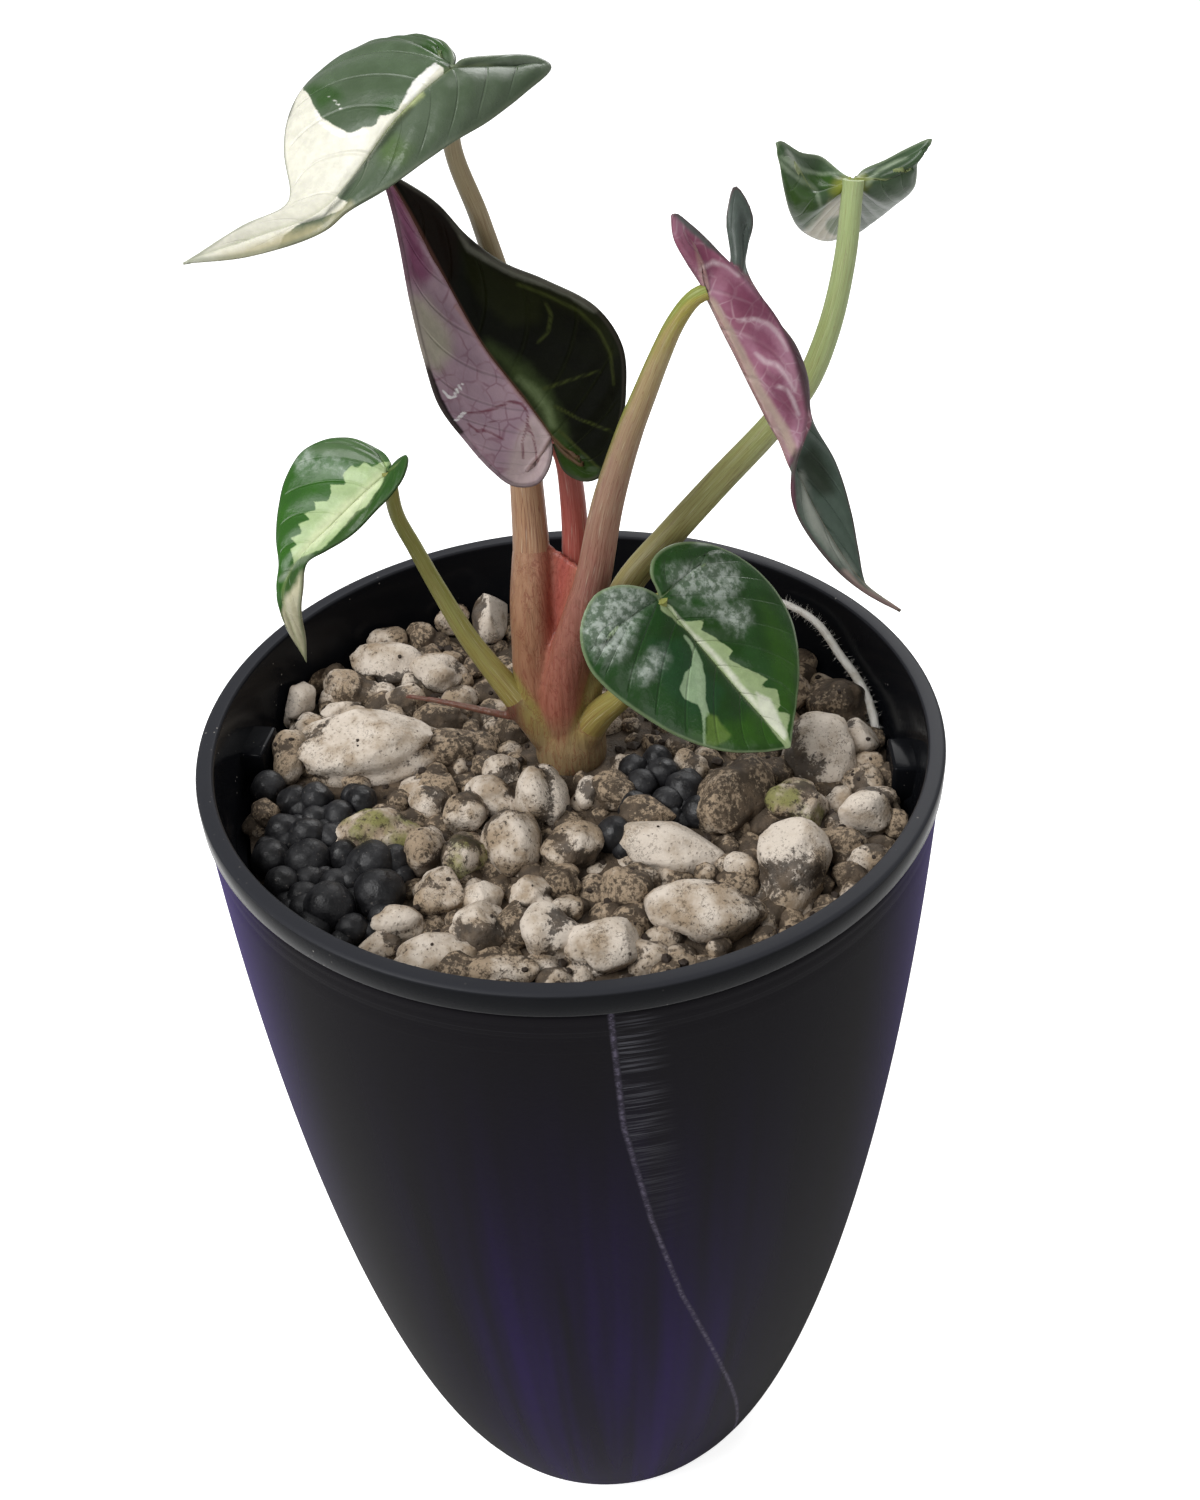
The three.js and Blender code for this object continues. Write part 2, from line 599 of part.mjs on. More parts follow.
function petiole({ points, radii, stop }, base) {
  const share = 1 - stop / smoothCurve(points).getLength();
  const tube = solidOf(taperedTube(points, radii, PETIOLE_STEPS, () => 0, share));
  return largestPiece(tube.subtract(base));
}

// Pumice lumps that show: centre x and y, half length, half height, heading in
// degrees. Smaller seeded lumps fill the ground between and behind them.

const LUMPS = [
  [-28.7, 8.7, 9.4, 5.4, 0], [-41, 21.5, 3.2, 3.2, 0], [-40, 28, 3.6, 2.4, 0],
  [-32.2, 23, 4, 3.2, 0], [-36.2, 28.6, 2.4, 2.1, 0], [-27.6, 36, 3, 3, 0],
  [-27.2, 29.7, 5.2, 3.3, -10], [-21.4, 35.5, 3.2, 2.7, 0], [-19.2, 26.7, 4, 2.9, 0],
  [-33.5, 18.6, 3.1, 2, 20], [-38.2, 15.7, 2.6, 2.1, 0], [-40.1, 8.5, 2.4, 3.6, 0],
  [-42.4, -2.7, 1.8, 2, 0], [-26.9, -9.4, 6, 3.5, 14], [-20.1, -13.4, 2.8, 3.8, 0],
  [-15.2, -14.8, 3.2, 3.4, 0], [-19.8, -3.2, 2.8, 2.5, 0], [-14.8, -6.2, 2.8, 3.1, 0],
  [-9.9, 2.4, 2.8, 2.4, 0], [-4.4, -3.6, 3.5, 4.4, 0], [-11.3, -2.3, 4.2, 2.6, -30],
  [-8.9, -12.9, 3.9, 4.2, 0], [-18, -20.9, 3.3, 2.9, 0], [-12.5, -22.6, 2.5, 2.2, 0],
  [-12.5, -28.6, 3.6, 3.3, 35], [-18.6, -32.2, 5.2, 2.6, 12], [-23.4, -26.2, 3.4, 2.2, 0],
  [-25.4, -29.9, 2.6, 1.9, 0], [-10.3, -35.3, 4.5, 2.1, -8], [-8.4, -27.9, 2.2, 2.9, 0],
  [-6.2, -23.2, 2.7, 2.7, 0], [-3.8, -29.7, 3.6, 3.5, 0], [-0.7, -14.8, 4, 3.3, 0],
  [-2.5, -20.8, 2.5, 2.3, 0], [-24.3, 20.2, 2.9, 2.4, 0], [-18.8, 15.6, 3.9, 2.4, 0],
  [-17, 8.8, 4.3, 2.4, 0], [-11.6, 39.8, 2.6, 4.6, 0], [-17.7, 41.6, 2.8, 2.6, 0],
  [2.2, -2.6, 1.9, 2.1, 0], [5.3, -3.6, 3, 3, 0], [9.5, -9.2, 3.6, 3, 0],
  [12.4, -15.5, 6.5, 3.4, -25], [21.7, -7.2, 5, 5.6, -14], [29.4, -9.2, 4, 3.9, 28],
  [27.3, -21.7, 4.4, 5.6, -20], [15.5, -28.8, 7.2, 4.3, -8], [21.3, -20.2, 2.4, 2.5, 0],
  [34.6, 1.2, 5, 5.4, -25], [40.4, 4.2, 3, 3.2, 0], [38.8, 13, 4.4, 4.1, -28],
  [39.6, -11.2, 4.6, 3.4, 28], [39.6, -4.6, 2.6, 2.2, 0], [34.4, -17.8, 4.2, 2.8, -20],
  [37.6, -20.4, 2.8, 2.4, 0], [33.4, 16.6, 2.6, 3.4, 0], [6.1, -23.4, 3, 3.2, 0],
  [2.7, -33.1, 4.7, 3.4, 12], [16.6, 1.4, 2.3, 2.2, 0], [-1.9, -25.4, 2, 1.8, 0],
  [27.1, -1.4, 2.9, 2.5, 0],
];

// Black clay pellets: centre x and y, radius. Each heap has a low core, given
// as centre x and y and half lengths along x and y.

const PELLETS_LEFT = [
  [-42.6, 2.3, 2.4], [-38.7, -0.9, 2.2], [-35.6, -1, 2.4], [-39.4, -7.5, 2.5], [-36, -8.9, 2.7],
  [-40.4, -13, 2.6], [-35.5, -13.9, 2.9], [-38.6, -17.8, 2.4], [-31.9, -23.3, 3.3], [-27.2, -15.6, 3.2],
  [-24.2, -14.8, 2.4], [-25.6, -21.4, 3.3], [-29.4, -1.9, 2.3], [-32.2, -4.8, 2.2], [-28.9, -26.6, 2.1],
  [-32.8, -9.3, 2.1], [-31, -12.8, 2.1], [-31.5, -18.1, 2.2], [-35.6, -20.6, 2.2], [-35.4, -5, 2],
];
const PELLETS_MIDDLE = [
  [4.7, -12.2, 2.5], [9.3, -2.4, 2.4], [12.4, -0.6, 2.5], [15.1, -4.4, 2.7], [11.9, 3, 2.2],
  [16.6, -8.6, 2.3], [8.5, 1.6, 2.1], [12.7, -6.3, 2.3], [8, -6.6, 2.2], [9.4, -12.4, 2],
];
const HEAP_LEFT_CORE = [[-35, -7, 9, 12], [-30, -18, 8, 8]];
const HEAP_MIDDLE_CORE = [[11, -4.4, 7, 9]];

function roughLump(lump, radii, heading, centre, random) {
  lump.deleteAttribute('normal');
  lump.deleteAttribute('uv');
  const merged = mergeVertices(lump, 1e-4);
  const place = merged.attributes.position;
  for (let i = 0; i < place.count; i += 1) {
    const swell = 1 + (random() - 0.5) * LUMP_ROUGHNESS;
    place.setXYZ(i, place.getX(i) * swell, place.getY(i) * swell, place.getZ(i) * swell);
  }
  merged.scale(...radii);
  merged.rotateZ(THREE.MathUtils.degToRad(heading));
  merged.translate(...centre);
  return solidOf(merged);
}

function lumpBlank(half) {
  if (half < SMALL_LUMP) return new THREE.IcosahedronGeometry(COARSE_SWELL);
  if (half < LARGE_LUMP) return new THREE.DodecahedronGeometry(COARSE_SWELL);
  return new THREE.IcosahedronGeometry(1, 1);
}

function visibleLumps() {
  const random = seededRandom(LUMP_SEED);
  return LUMPS.map(([x, y, half, height, heading]) => {
    const z = BED_TOP_Z + LUMP_LIFT + height * LUMP_RISE;
    const radii = [half * LUMP_LENGTH, height, height * LUMP_DEPTH];
    return roughLump(lumpBlank(half), radii, heading, [x, y, z], random);
  });
}

function groundIsFree(x, y) {
  const free = ([otherX, otherY, half]) => Math.hypot(x - otherX, y - otherY) > half + FILL_SPACING;
  return [...LUMPS, ...PELLETS_LEFT, ...PELLETS_MIDDLE, [CORM.x, CORM.y, CORM.radius]].every(free);
}

function fillLumps() {
  const random = seededRandom(FILL_SEED);
  const lumps = [];
  for (let i = 0; i < FILL_SPOTS; i += 1) {
    const angle = i * GOLDEN_ANGLE;
    const reach = FILL_REACH * Math.sqrt((i + 0.5) / FILL_SPOTS);
    const [x, y] = [reach * Math.cos(angle), reach * Math.sin(angle)];
    const size = FILL_SIZE + FILL_SIZE_SPREAD * random();
    const z = BED_TOP_Z + FILL_LIFT + FILL_LIFT_SPREAD * random();
    const radii = [size, size * 0.9, size * 0.8];
    const lump = roughLump(lumpBlank(0), radii, 360 * random(), [x, y, z], random);
    if (groundIsFree(x, y)) lumps.push(lump);
  }
  return lumps;
}

function pelletHeap(pellets, cores, extra) {
  const solids = cores.map(([x, y, halfX, halfY]) => {
    const core = new THREE.SphereGeometry(1, 12, 6);
    core.scale(halfX + extra, halfY + extra, HEAP_CORE_HEIGHT + extra);
    core.translate(x, y, BED_TOP_Z + GAP);
    return solidOf(core);
  });
  pellets.forEach(([x, y, radius]) => {
    const size = (radius + extra) * PELLET_SWELL;
    const small = radius < SMALL_PELLET;
    const pellet = small ? new THREE.DodecahedronGeometry(size) : new THREE.IcosahedronGeometry(size, 1);
    pellet.translate(x, y, BED_TOP_Z + GAP + radius * PELLET_RISE);
    solids.push(solidOf(pellet));
  });
  const slab = BED_CEILING_Z - BED_TOP_Z;
  const above = new THREE.BoxGeometry(2 * RIM_RADIUS, 2 * RIM_RADIUS, slab);
  above.translate(0, 0, BED_TOP_Z + GAP - extra + slab / 2);
  return union(solids).intersect(solidOf(above));
}

function potSpace() {
  const clear = LINER_WALL + GAP;
  const room = solidOf(turned([
    [0, linerFloorZ() + GAP],
    [LINER_FOOT_RADIUS - clear - LINER_FOOT_BEVEL, linerFloorZ() + GAP],
    [LINER_FOOT_RADIUS - clear, linerFloorZ() + 1.5],
    [linerWallRadius(LINER_STEP_Z - LINER_STEP_HEIGHT) - clear, LINER_STEP_Z - LINER_FLOOR / 2],
    [LINER_STEP_RADIUS - LINER_WALL, BED_CEILING_Z],
    [0, BED_CEILING_Z],
  ]));
  return room.subtract(union(LUG_AZIMUTHS.map((degrees) => lugBlock(degrees, GAP))));
}

function pumiceBed(space, cuts) {
  const depth = BED_TOP_Z - LINER_FOOT_Z;
  const bed = new THREE.CylinderGeometry(LINER_MOUTH_RADIUS, LINER_MOUTH_RADIUS, depth, POT_SIDES);
  bed.rotateX(Math.PI / 2);
  bed.translate(0, 0, LINER_FOOT_Z + depth / 2);
  const filled = union([solidOf(bed), ...visibleLumps(), ...fillLumps()]);
  return largestPiece(cuts.reduce((left, cut) => left.subtract(cut), filled.intersect(space)));
}

// The finished pieces, each with its own colour and finish

const group = new THREE.Group();

function addPiece(name, shape, color, roughness) {
  const geometry = shape.isBufferGeometry ? shape : geometryOf(shape);
  const mesh = new THREE.Mesh(geometry, new THREE.MeshStandardMaterial({ color, roughness, metalness: 0 }));
  mesh.name = name;
  group.add(mesh);
}

const LEAF_COLOURS = {
  leaf_upper_left: 0xa9b59c,
  leaf_centre: 0x6a4f56,
  leaf_hanging_right: 0x8a5a6b,
  leaf_upper_right: 0x5f7f58,
  leaf_left: 0x3f6d2b,
  leaf_front: 0x2f5a26,
};
const PETIOLE_COLOURS = {
  petiole_upper_left: 0x9a7f62,
  petiole_centre: 0xa23b3a,
  petiole_hanging_right: 0x9c6250,
  petiole_upper_right: 0x9fae6a,
  petiole_left: 0x97964b,
  petiole_front: 0x8a8a44,
};

const base = stemBase(0);
const baseClearance = stemBase(GAP);
const rootClearance = solidOf(taperedTube(WHITE_ROOT, WHITE_ROOT_RADII, ROOT_STEPS, () => GAP));
const space = potSpace();
const plantCuts = [baseClearance, rootClearance];

function fittedHeap(pellets, cores) {
  const heap = pelletHeap(pellets, cores, 0).intersect(space);
  return largestPiece(plantCuts.reduce((left, cut) => left.subtract(cut), heap));
}

addPiece('cover_pot', solidOf(coverPot()), 0x1b1426, 0.4);
addPiece('liner_pot', linerPot(), 0x15161a, 0.25);
addPiece('pumice', pumiceBed(space, [
  ...plantCuts,
  pelletHeap(PELLETS_LEFT, HEAP_LEFT_CORE, GAP),
  pelletHeap(PELLETS_MIDDLE, HEAP_MIDDLE_CORE, GAP),
]), 0xc9bdae, 0.9);
addPiece('pellets_left', fittedHeap(PELLETS_LEFT, HEAP_LEFT_CORE), 0x202226, 0.5);
addPiece('pellets_middle', fittedHeap(PELLETS_MIDDLE, HEAP_MIDDLE_CORE), 0x202226, 0.5);
addPiece('stem_base', base, 0x9a7a4a, 0.5);
addPiece('white_root', taperedTube(WHITE_ROOT, WHITE_ROOT_RADII, ROOT_STEPS), 0xe8e6e0, 0.8);
Object.entries(PETIOLES).forEach(([name, spec]) => {
  addPiece(name, petiole(spec, baseClearance), PETIOLE_COLOURS[name], 0.45);
});
Object.entries(LEAVES).forEach(([name, leaf]) => {
  addPiece(name, bladeGeometry(leaf), LEAF_COLOURS[name], 0.35);
});

export default group;
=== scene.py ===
"""Potted bambino alocasia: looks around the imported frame, laid out as an add-on."""

import math
import random

import bmesh
import bpy
import numpy as np
from bpy.props import (
    FloatProperty,
    FloatVectorProperty,
    IntProperty,
    PointerProperty,
)
from mathutils import Matrix, Vector
from mathutils.bvhtree import BVHTree


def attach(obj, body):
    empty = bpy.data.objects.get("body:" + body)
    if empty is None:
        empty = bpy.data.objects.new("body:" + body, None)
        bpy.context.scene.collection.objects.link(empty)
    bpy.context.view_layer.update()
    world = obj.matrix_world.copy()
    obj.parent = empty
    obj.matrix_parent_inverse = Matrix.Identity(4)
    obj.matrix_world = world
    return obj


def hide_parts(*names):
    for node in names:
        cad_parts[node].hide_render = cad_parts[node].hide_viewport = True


bl_info = {
    "name": "Potted Bambino Alocasia",
    "version": (1, 0, 0),
    "blender": (4, 5, 0),
    "location": "View3D > Sidebar > Alocasia",
    "description": "Models a young variegated alocasia in pumice, its liner pot and its cover pot",
    "category": "Add Mesh",
}

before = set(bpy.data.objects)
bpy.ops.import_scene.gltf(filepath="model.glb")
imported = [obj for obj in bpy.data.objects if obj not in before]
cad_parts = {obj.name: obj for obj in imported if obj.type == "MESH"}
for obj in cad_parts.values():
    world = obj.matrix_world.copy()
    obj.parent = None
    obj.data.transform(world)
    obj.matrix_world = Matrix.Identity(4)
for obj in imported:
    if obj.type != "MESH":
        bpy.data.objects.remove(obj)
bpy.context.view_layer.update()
MM = 0.001

# Sizes of the pots, the bed and the stem base, in millimetres

COVER_HEIGHT = 150.3
COVER_TOP_RADIUS = 49.6
COVER_FOOT_RADIUS = 25.8
COVER_BELLY = 1.91
COVER_ROUNDNESS = 1.61
COVER_FLOOR = 3.0
COVER_WALL = 1.2
COVER_GROOVE = 0.04
COVER_GROOVES = (146.5, 146.9, 148.7, 149.0)
RIM_BASE = 150.6
RIM_TOP = 154.3
RIM_RADIUS = 50.0
RIM_INNER_RADIUS = 47.6
LINER_FOOT_Z = 66.0
LINER_FOOT_RADIUS = 35.0
LINER_STEP_Z = 141.7
LINER_STEP_RADIUS = 46.7
LINER_MOUTH_RADIUS = 48.1
LUG_AZIMUTHS = (168, -3)
LUG_SIZE = (4.2, 7, 6)
LUG_Z = 144
LUG_INSET = 2.3
LUG_ROUNDING = 0.5
DRAIN_RING_COUNT = 6
DRAIN_REACH = 22
DRAIN_RADIUS = 3.5
DRAIN_CUT = 6
BED_TOP_Z = 142.0
BED_REACH = 46.0
BED_PROFILE = [(0, 68), (33, 68), (33.6, 70), (44.4, 138), (44.9, 142.0), (30, 142.6), (0, 142.4)]
STEM_X = 0.0
STEM_Y = 7.6
CORM_PROFILE = [(0, 132), (2.4, 133), (3.6, 136), (4.6, 140), (5.1, 143), (5.0, 146), (4.2, 149),
                (3, 152), (0, 153)]

# Steps round each spun piece, and the remeshed stem base's cell in millimetres

COVER_STEPS = 192
LINER_STEPS = 176
BED_STEPS = 64
CORM_STEPS = 40
STEM_VOXEL = 0.3

# Seam scar on the cover pot: azimuth in degrees and height

SEAM = [(-87, 150), (-86, 130), (-82, 108), (-77, 88), (-68, 62), (-60, 40), (-54, 22), (-50, 8)]

# Leaves: each half runs from the attachment round its lobe to the tip

LEAVES = {
    "leaf_upper_left": {
        "midrib": [(-8.2, 8, 236.7), (-11.2, 6, 235.2), (-14.8, 4, 232.6), (-19.6, 1.5, 227.8),
            (-23.4, -1, 225.1), (-29.7, -4, 224), (-37.1, -8, 223.2)],
        "left": {
            "vein": [(-8.5, 10, 235.8), (-9.3, 12, 237.2)],
            "sinus": [(-7.9, 9.5, 237.3), (-8.4, 12, 237.7)],
            "lobe": [(-9.5, 14, 237.9), (-12.7, 16.5, 237.8), (-16.4, 18, 237.1)],
            "side": [(-20.5, 18.5, 235.7), (-24.7, 16, 233.6), (-26.7, 12.5, 231.4),
                (-27.3, 8.5, 228.7), (-26.7, 4.5, 225.9), (-27.1, 0.5, 225.4), (-31.4, -3.5, 225)],
            "bulge": (-0.6, 0.7, 1.4),
            "tip": 2,
            "shoulder": 0.5,
        },
        "right": {
            "vein": [(-4.2, 10.3, 235.9), (-0.4, 12.2, 234.8)],
            "sinus": [(-7.1, 9, 237.1), (-3.1, 11.5, 236.6), (0.7, 13.5, 235.7)],
            "lobe": [(2.3, 13.4, 234.8), (-1.2, 8, 233.3), (-5.2, 4, 231.9)],
            "side": [(-8.3, 1.5, 231.1), (-11.5, -0.5, 229.8), (-15.3, -2.5, 228.1),
                (-20.2, -4, 226.1), (-22.8, -4.5, 224.4), (-30.4, -6.5, 223)],
            "bulge": (0.6, -0.4, 0.9),
            "tip": 1,
            "shoulder": 0,
        },
    },
    "leaf_centre": {
        "midrib": [(-0.1, 10, 191.6), (-3.1, 11.5, 196), (-7.8, 12.5, 203.1),
            (-11.8, 12.5, 212.2), (-14.8, 10.5, 220.3), (-17.1, 8, 226.6)],
        "left": {
            "vein": [(-1.6, 9, 189.6), (-3.3, 7.5, 188.4)],
            "sinus": [(0, 9.3, 190.5), (-0.5, 7.5, 188.9)],
            "lobe": [(-2.1, 6, 187.3), (-5, 5, 187.7), (-7.8, 4.5, 190.6)],
            "side": [(-10.8, 4, 195.4), (-13.1, 4, 199.7), (-14.4, 5, 205.7),
                (-15.3, 6.5, 211.8), (-15.9, 8, 218.4), (-16.4, 8, 223)],
            "bulge": (-0.8, 0.6, -0.4),
            "tip": 2.5,
            "shoulder": 0.5,
        },
        "right": {
            "vein": [(1.7, 8.5, 190.1), (3.5, 7, 189.2)],
            "sinus": [(0.4, 9.5, 189.6), (1.4, 7.5, 187.7)],
            "lobe": [(3.9, 6, 187.1), (6.7, 5.5, 188.8), (8.3, 5, 194.5)],
            "side": [(9.1, 5, 199.7), (8.8, 5.5, 205.3), (5.9, 6.5, 209.7), (0.3, 8, 212.6),
                (-4.8, 9.5, 214.6), (-8.5, 10.5, 217.5), (-11.5, 10.5, 221.4),
                (-15.2, 9.5, 224.7)],
            "bulge": (0.6, 1.2, 0.2),
            "tip": 1,
            "shoulder": 0.5,
        },
    },
    "leaf_hanging_right": {
        "midrib": [(17.8, -5, 215.7), (19.8, -5.6, 211.4), (22.4, -6, 205.9), (25.3, -6, 199.7),
            (28.1, -5.5, 193.7), (31.7, -6, 186.5), (36.8, -7, 178.2), (41.6, -8.5, 174.6)],
        "left": {
            "vein": [(16.7, -5.4, 219.4), (15.5, -5, 221.5)],
            "sinus": [(17.2, -4.8, 216.6), (15.4, -6, 219.6), (14, -6.5, 222.6)],
            "lobe": [(14, -6.4, 224.9), (16.5, -3.8, 222.3), (19.5, -3.8, 219.2)],
            "side": [(22.9, -4, 215.5), (26, -3.4, 211), (28.3, -5.3, 206.2),
                (29.4, -5.1, 200.6), (28.7, -6.3, 197.1), (27.6, -7.7, 193.6),
                (28.1, -8, 189.2), (33.1, -9, 181.7), (37.3, -8.6, 177.5)],
            "bulge": (-0.3, -0.5, 0.5),
            "tip": 1.5,
            "shoulder": 0,
        },
        "right": {
            "vein": [(22.1, 0.8, 215.4), (22.5, 4.7, 218)],
            "sinus": [(19.7, -2, 215.3), (21.5, 3, 216.1), (21.1, 4.9, 220.3)],
            "lobe": [(22.1, 6.5, 222.9), (24, 5.5, 219.9), (23, 4.2, 214.8)],
            "side": [(25.7, 2.6, 209.9), (29.2, 3.7, 204.6), (30.4, 2, 201.4),
                (30.9, 0.2, 196.8), (33.5, -2.2, 192.3), (35.3, -4.5, 187), (36.4, -5.5, 181.9),
                (37.8, -6.5, 176.5)],
            "bulge": (0.1, 0.1, 0.4),
            "tip": 2,
            "shoulder": 1,
        },
    },
    "leaf_upper_right": {
        "midrib": [(38.1, 20, 218.1), (38.9, 26, 214.7), (39.9, 33, 210.3), (40.9, 40, 205.4),
            (41.6, 46, 200.9)],
        "left": {
            "vein": [(34, 20.7, 216.6), (30.6, 18, 221.3)],
            "sinus": [(37.2, 23, 217.9), (35, 25.2, 219.2), (31.8, 22, 221)],
            "lobe": [(28.4, 18, 223.7), (29, 18, 220.7), (30.1, 20, 216.3)],
            "side": [(32.2, 25, 211.3), (35.7, 33, 206.4), (39.3, 41, 202.6)],
            "bulge": (-0.6, -0.8, -0.8),
            "tip": 1,
            "shoulder": 0.5,
        },
        "right": {
            "vein": [(41.8, 20.3, 218), (44.8, 19.6, 219.5)],
            "sinus": [(39.7, 22, 218.5), (42.4, 22.5, 219.3), (44.8, 21.5, 220.9)],
            "lobe": [(47.2, 20, 222.4), (45.8, 20.4, 220.2), (46.2, 23, 215.9)],
            "side": [(45.1, 29, 211.3), (44.1, 36, 206.7), (43.2, 42, 203)],
            "bulge": (0, -0.7, -0.9),
            "tip": 2.5,
            "shoulder": 0.5,
        },
    },
    "leaf_left": {
        "midrib": [(-20.9, 10, 187.9), (-24, 8.5, 186.1), (-28.4, 5.5, 183.4),
            (-32.5, 2.5, 180.7), (-34.9, 0.5, 177.3), (-34.9, 1.5, 171.4), (-34.2, 3, 164.4)],
        "left": {
            "vein": [(-21.7, 12, 188.2), (-22.8, 13, 188.6)],
            "sinus": [(-20.6, 11, 188.5), (-21.4, 13, 188.8)],
            "lobe": [(-23.1, 14.5, 189.2), (-25.9, 15.5, 190), (-29.2, 16, 189.7)],
            "side": [(-32.3, 15.5, 188.4), (-34.5, 13, 186), (-35.4, 10, 183.7),
                (-35.7, 6.5, 181.4), (-35.3, 3, 179.5), (-36, 1, 176.4), (-35.8, 1.5, 171.4)],
            "bulge": (-0.3, 0.2, 0.8),
            "tip": 1,
            "shoulder": 0,
        },
        "right": {
            "vein": [(-20, 9.5, 188.7), (-19.2, 9.5, 189.4)],
            "sinus": [(-20.2, 10.5, 188.6), (-19.3, 10.5, 189.4)],
            "lobe": [(-18.3, 10, 190), (-18.7, 7.5, 188.9), (-20.4, 6, 187.1)],
            "side": [(-22.5, 4.5, 185.7), (-25.9, 2.5, 183.4), (-29, 1, 182.4),
                (-31.4, 0, 181.5), (-32.3, -1, 178.1), (-33.2, 0, 173.8), (-33.6, 2, 168.3)],
            "bulge": (0.2, -0.2, 0.2),
            "tip": 1,
            "shoulder": 0,
        },
    },
    "leaf_front": {
        "midrib": [(12.5, 0.5, 172.7), (15.6, -0.4, 168.5), (19, -1.9, 164.2),
            (23.1, -4.3, 159.5), (26.5, -6.4, 155.9), (28.7, -8, 153.6)],
        "left": {
            "vein": [(8.3, -2.5, 171.8), (5.5, -5.8, 171.1)],
            "sinus": [(12, 0.4, 173.4), (10, -0.3, 175.1), (6.6, -1.4, 176.2)],
            "lobe": [(3.9, -2.5, 175.5), (2, -5.1, 172.4), (2.7, -7.6, 168.6)],
            "side": [(4.8, -8.9, 165.9), (9, -10.4, 162.5), (13.9, -11.3, 159.1),
                (19.4, -11.1, 156.3), (24.5, -9.7, 154.6)],
            "bulge": (0.2, -0.7, 0.7),
            "tip": 2.5,
            "shoulder": 0.5,
        },
        "right": {
            "vein": [(15.3, 2.5, 173.8), (18.9, 5.8, 174)],
            "sinus": [(12.1, 0.7, 174), (11.4, 1.3, 175.9), (11.9, 3, 177.2)],
            "lobe": [(14.6, 5.8, 177.3), (19.2, 8.6, 175.4), (24.2, 9.6, 172)],
            "side": [(28.2, 8.7, 168), (30.6, 6.2, 163.9), (31.1, 2.2, 160), (30.3, -2.1, 157),
                (29.3, -5.7, 155.1)],
            "bulge": (0.4, -0.8, 0.7),
            "tip": 2,
            "shoulder": 0.5,
        },
    },
}

# Marks on the blades, drawn over the photograph as strokes (x, y and half
# width) and as closed areas (x and y), in the pixels of its 1200 x 1500 frame.
# They are carried onto the half of the blade named with them.

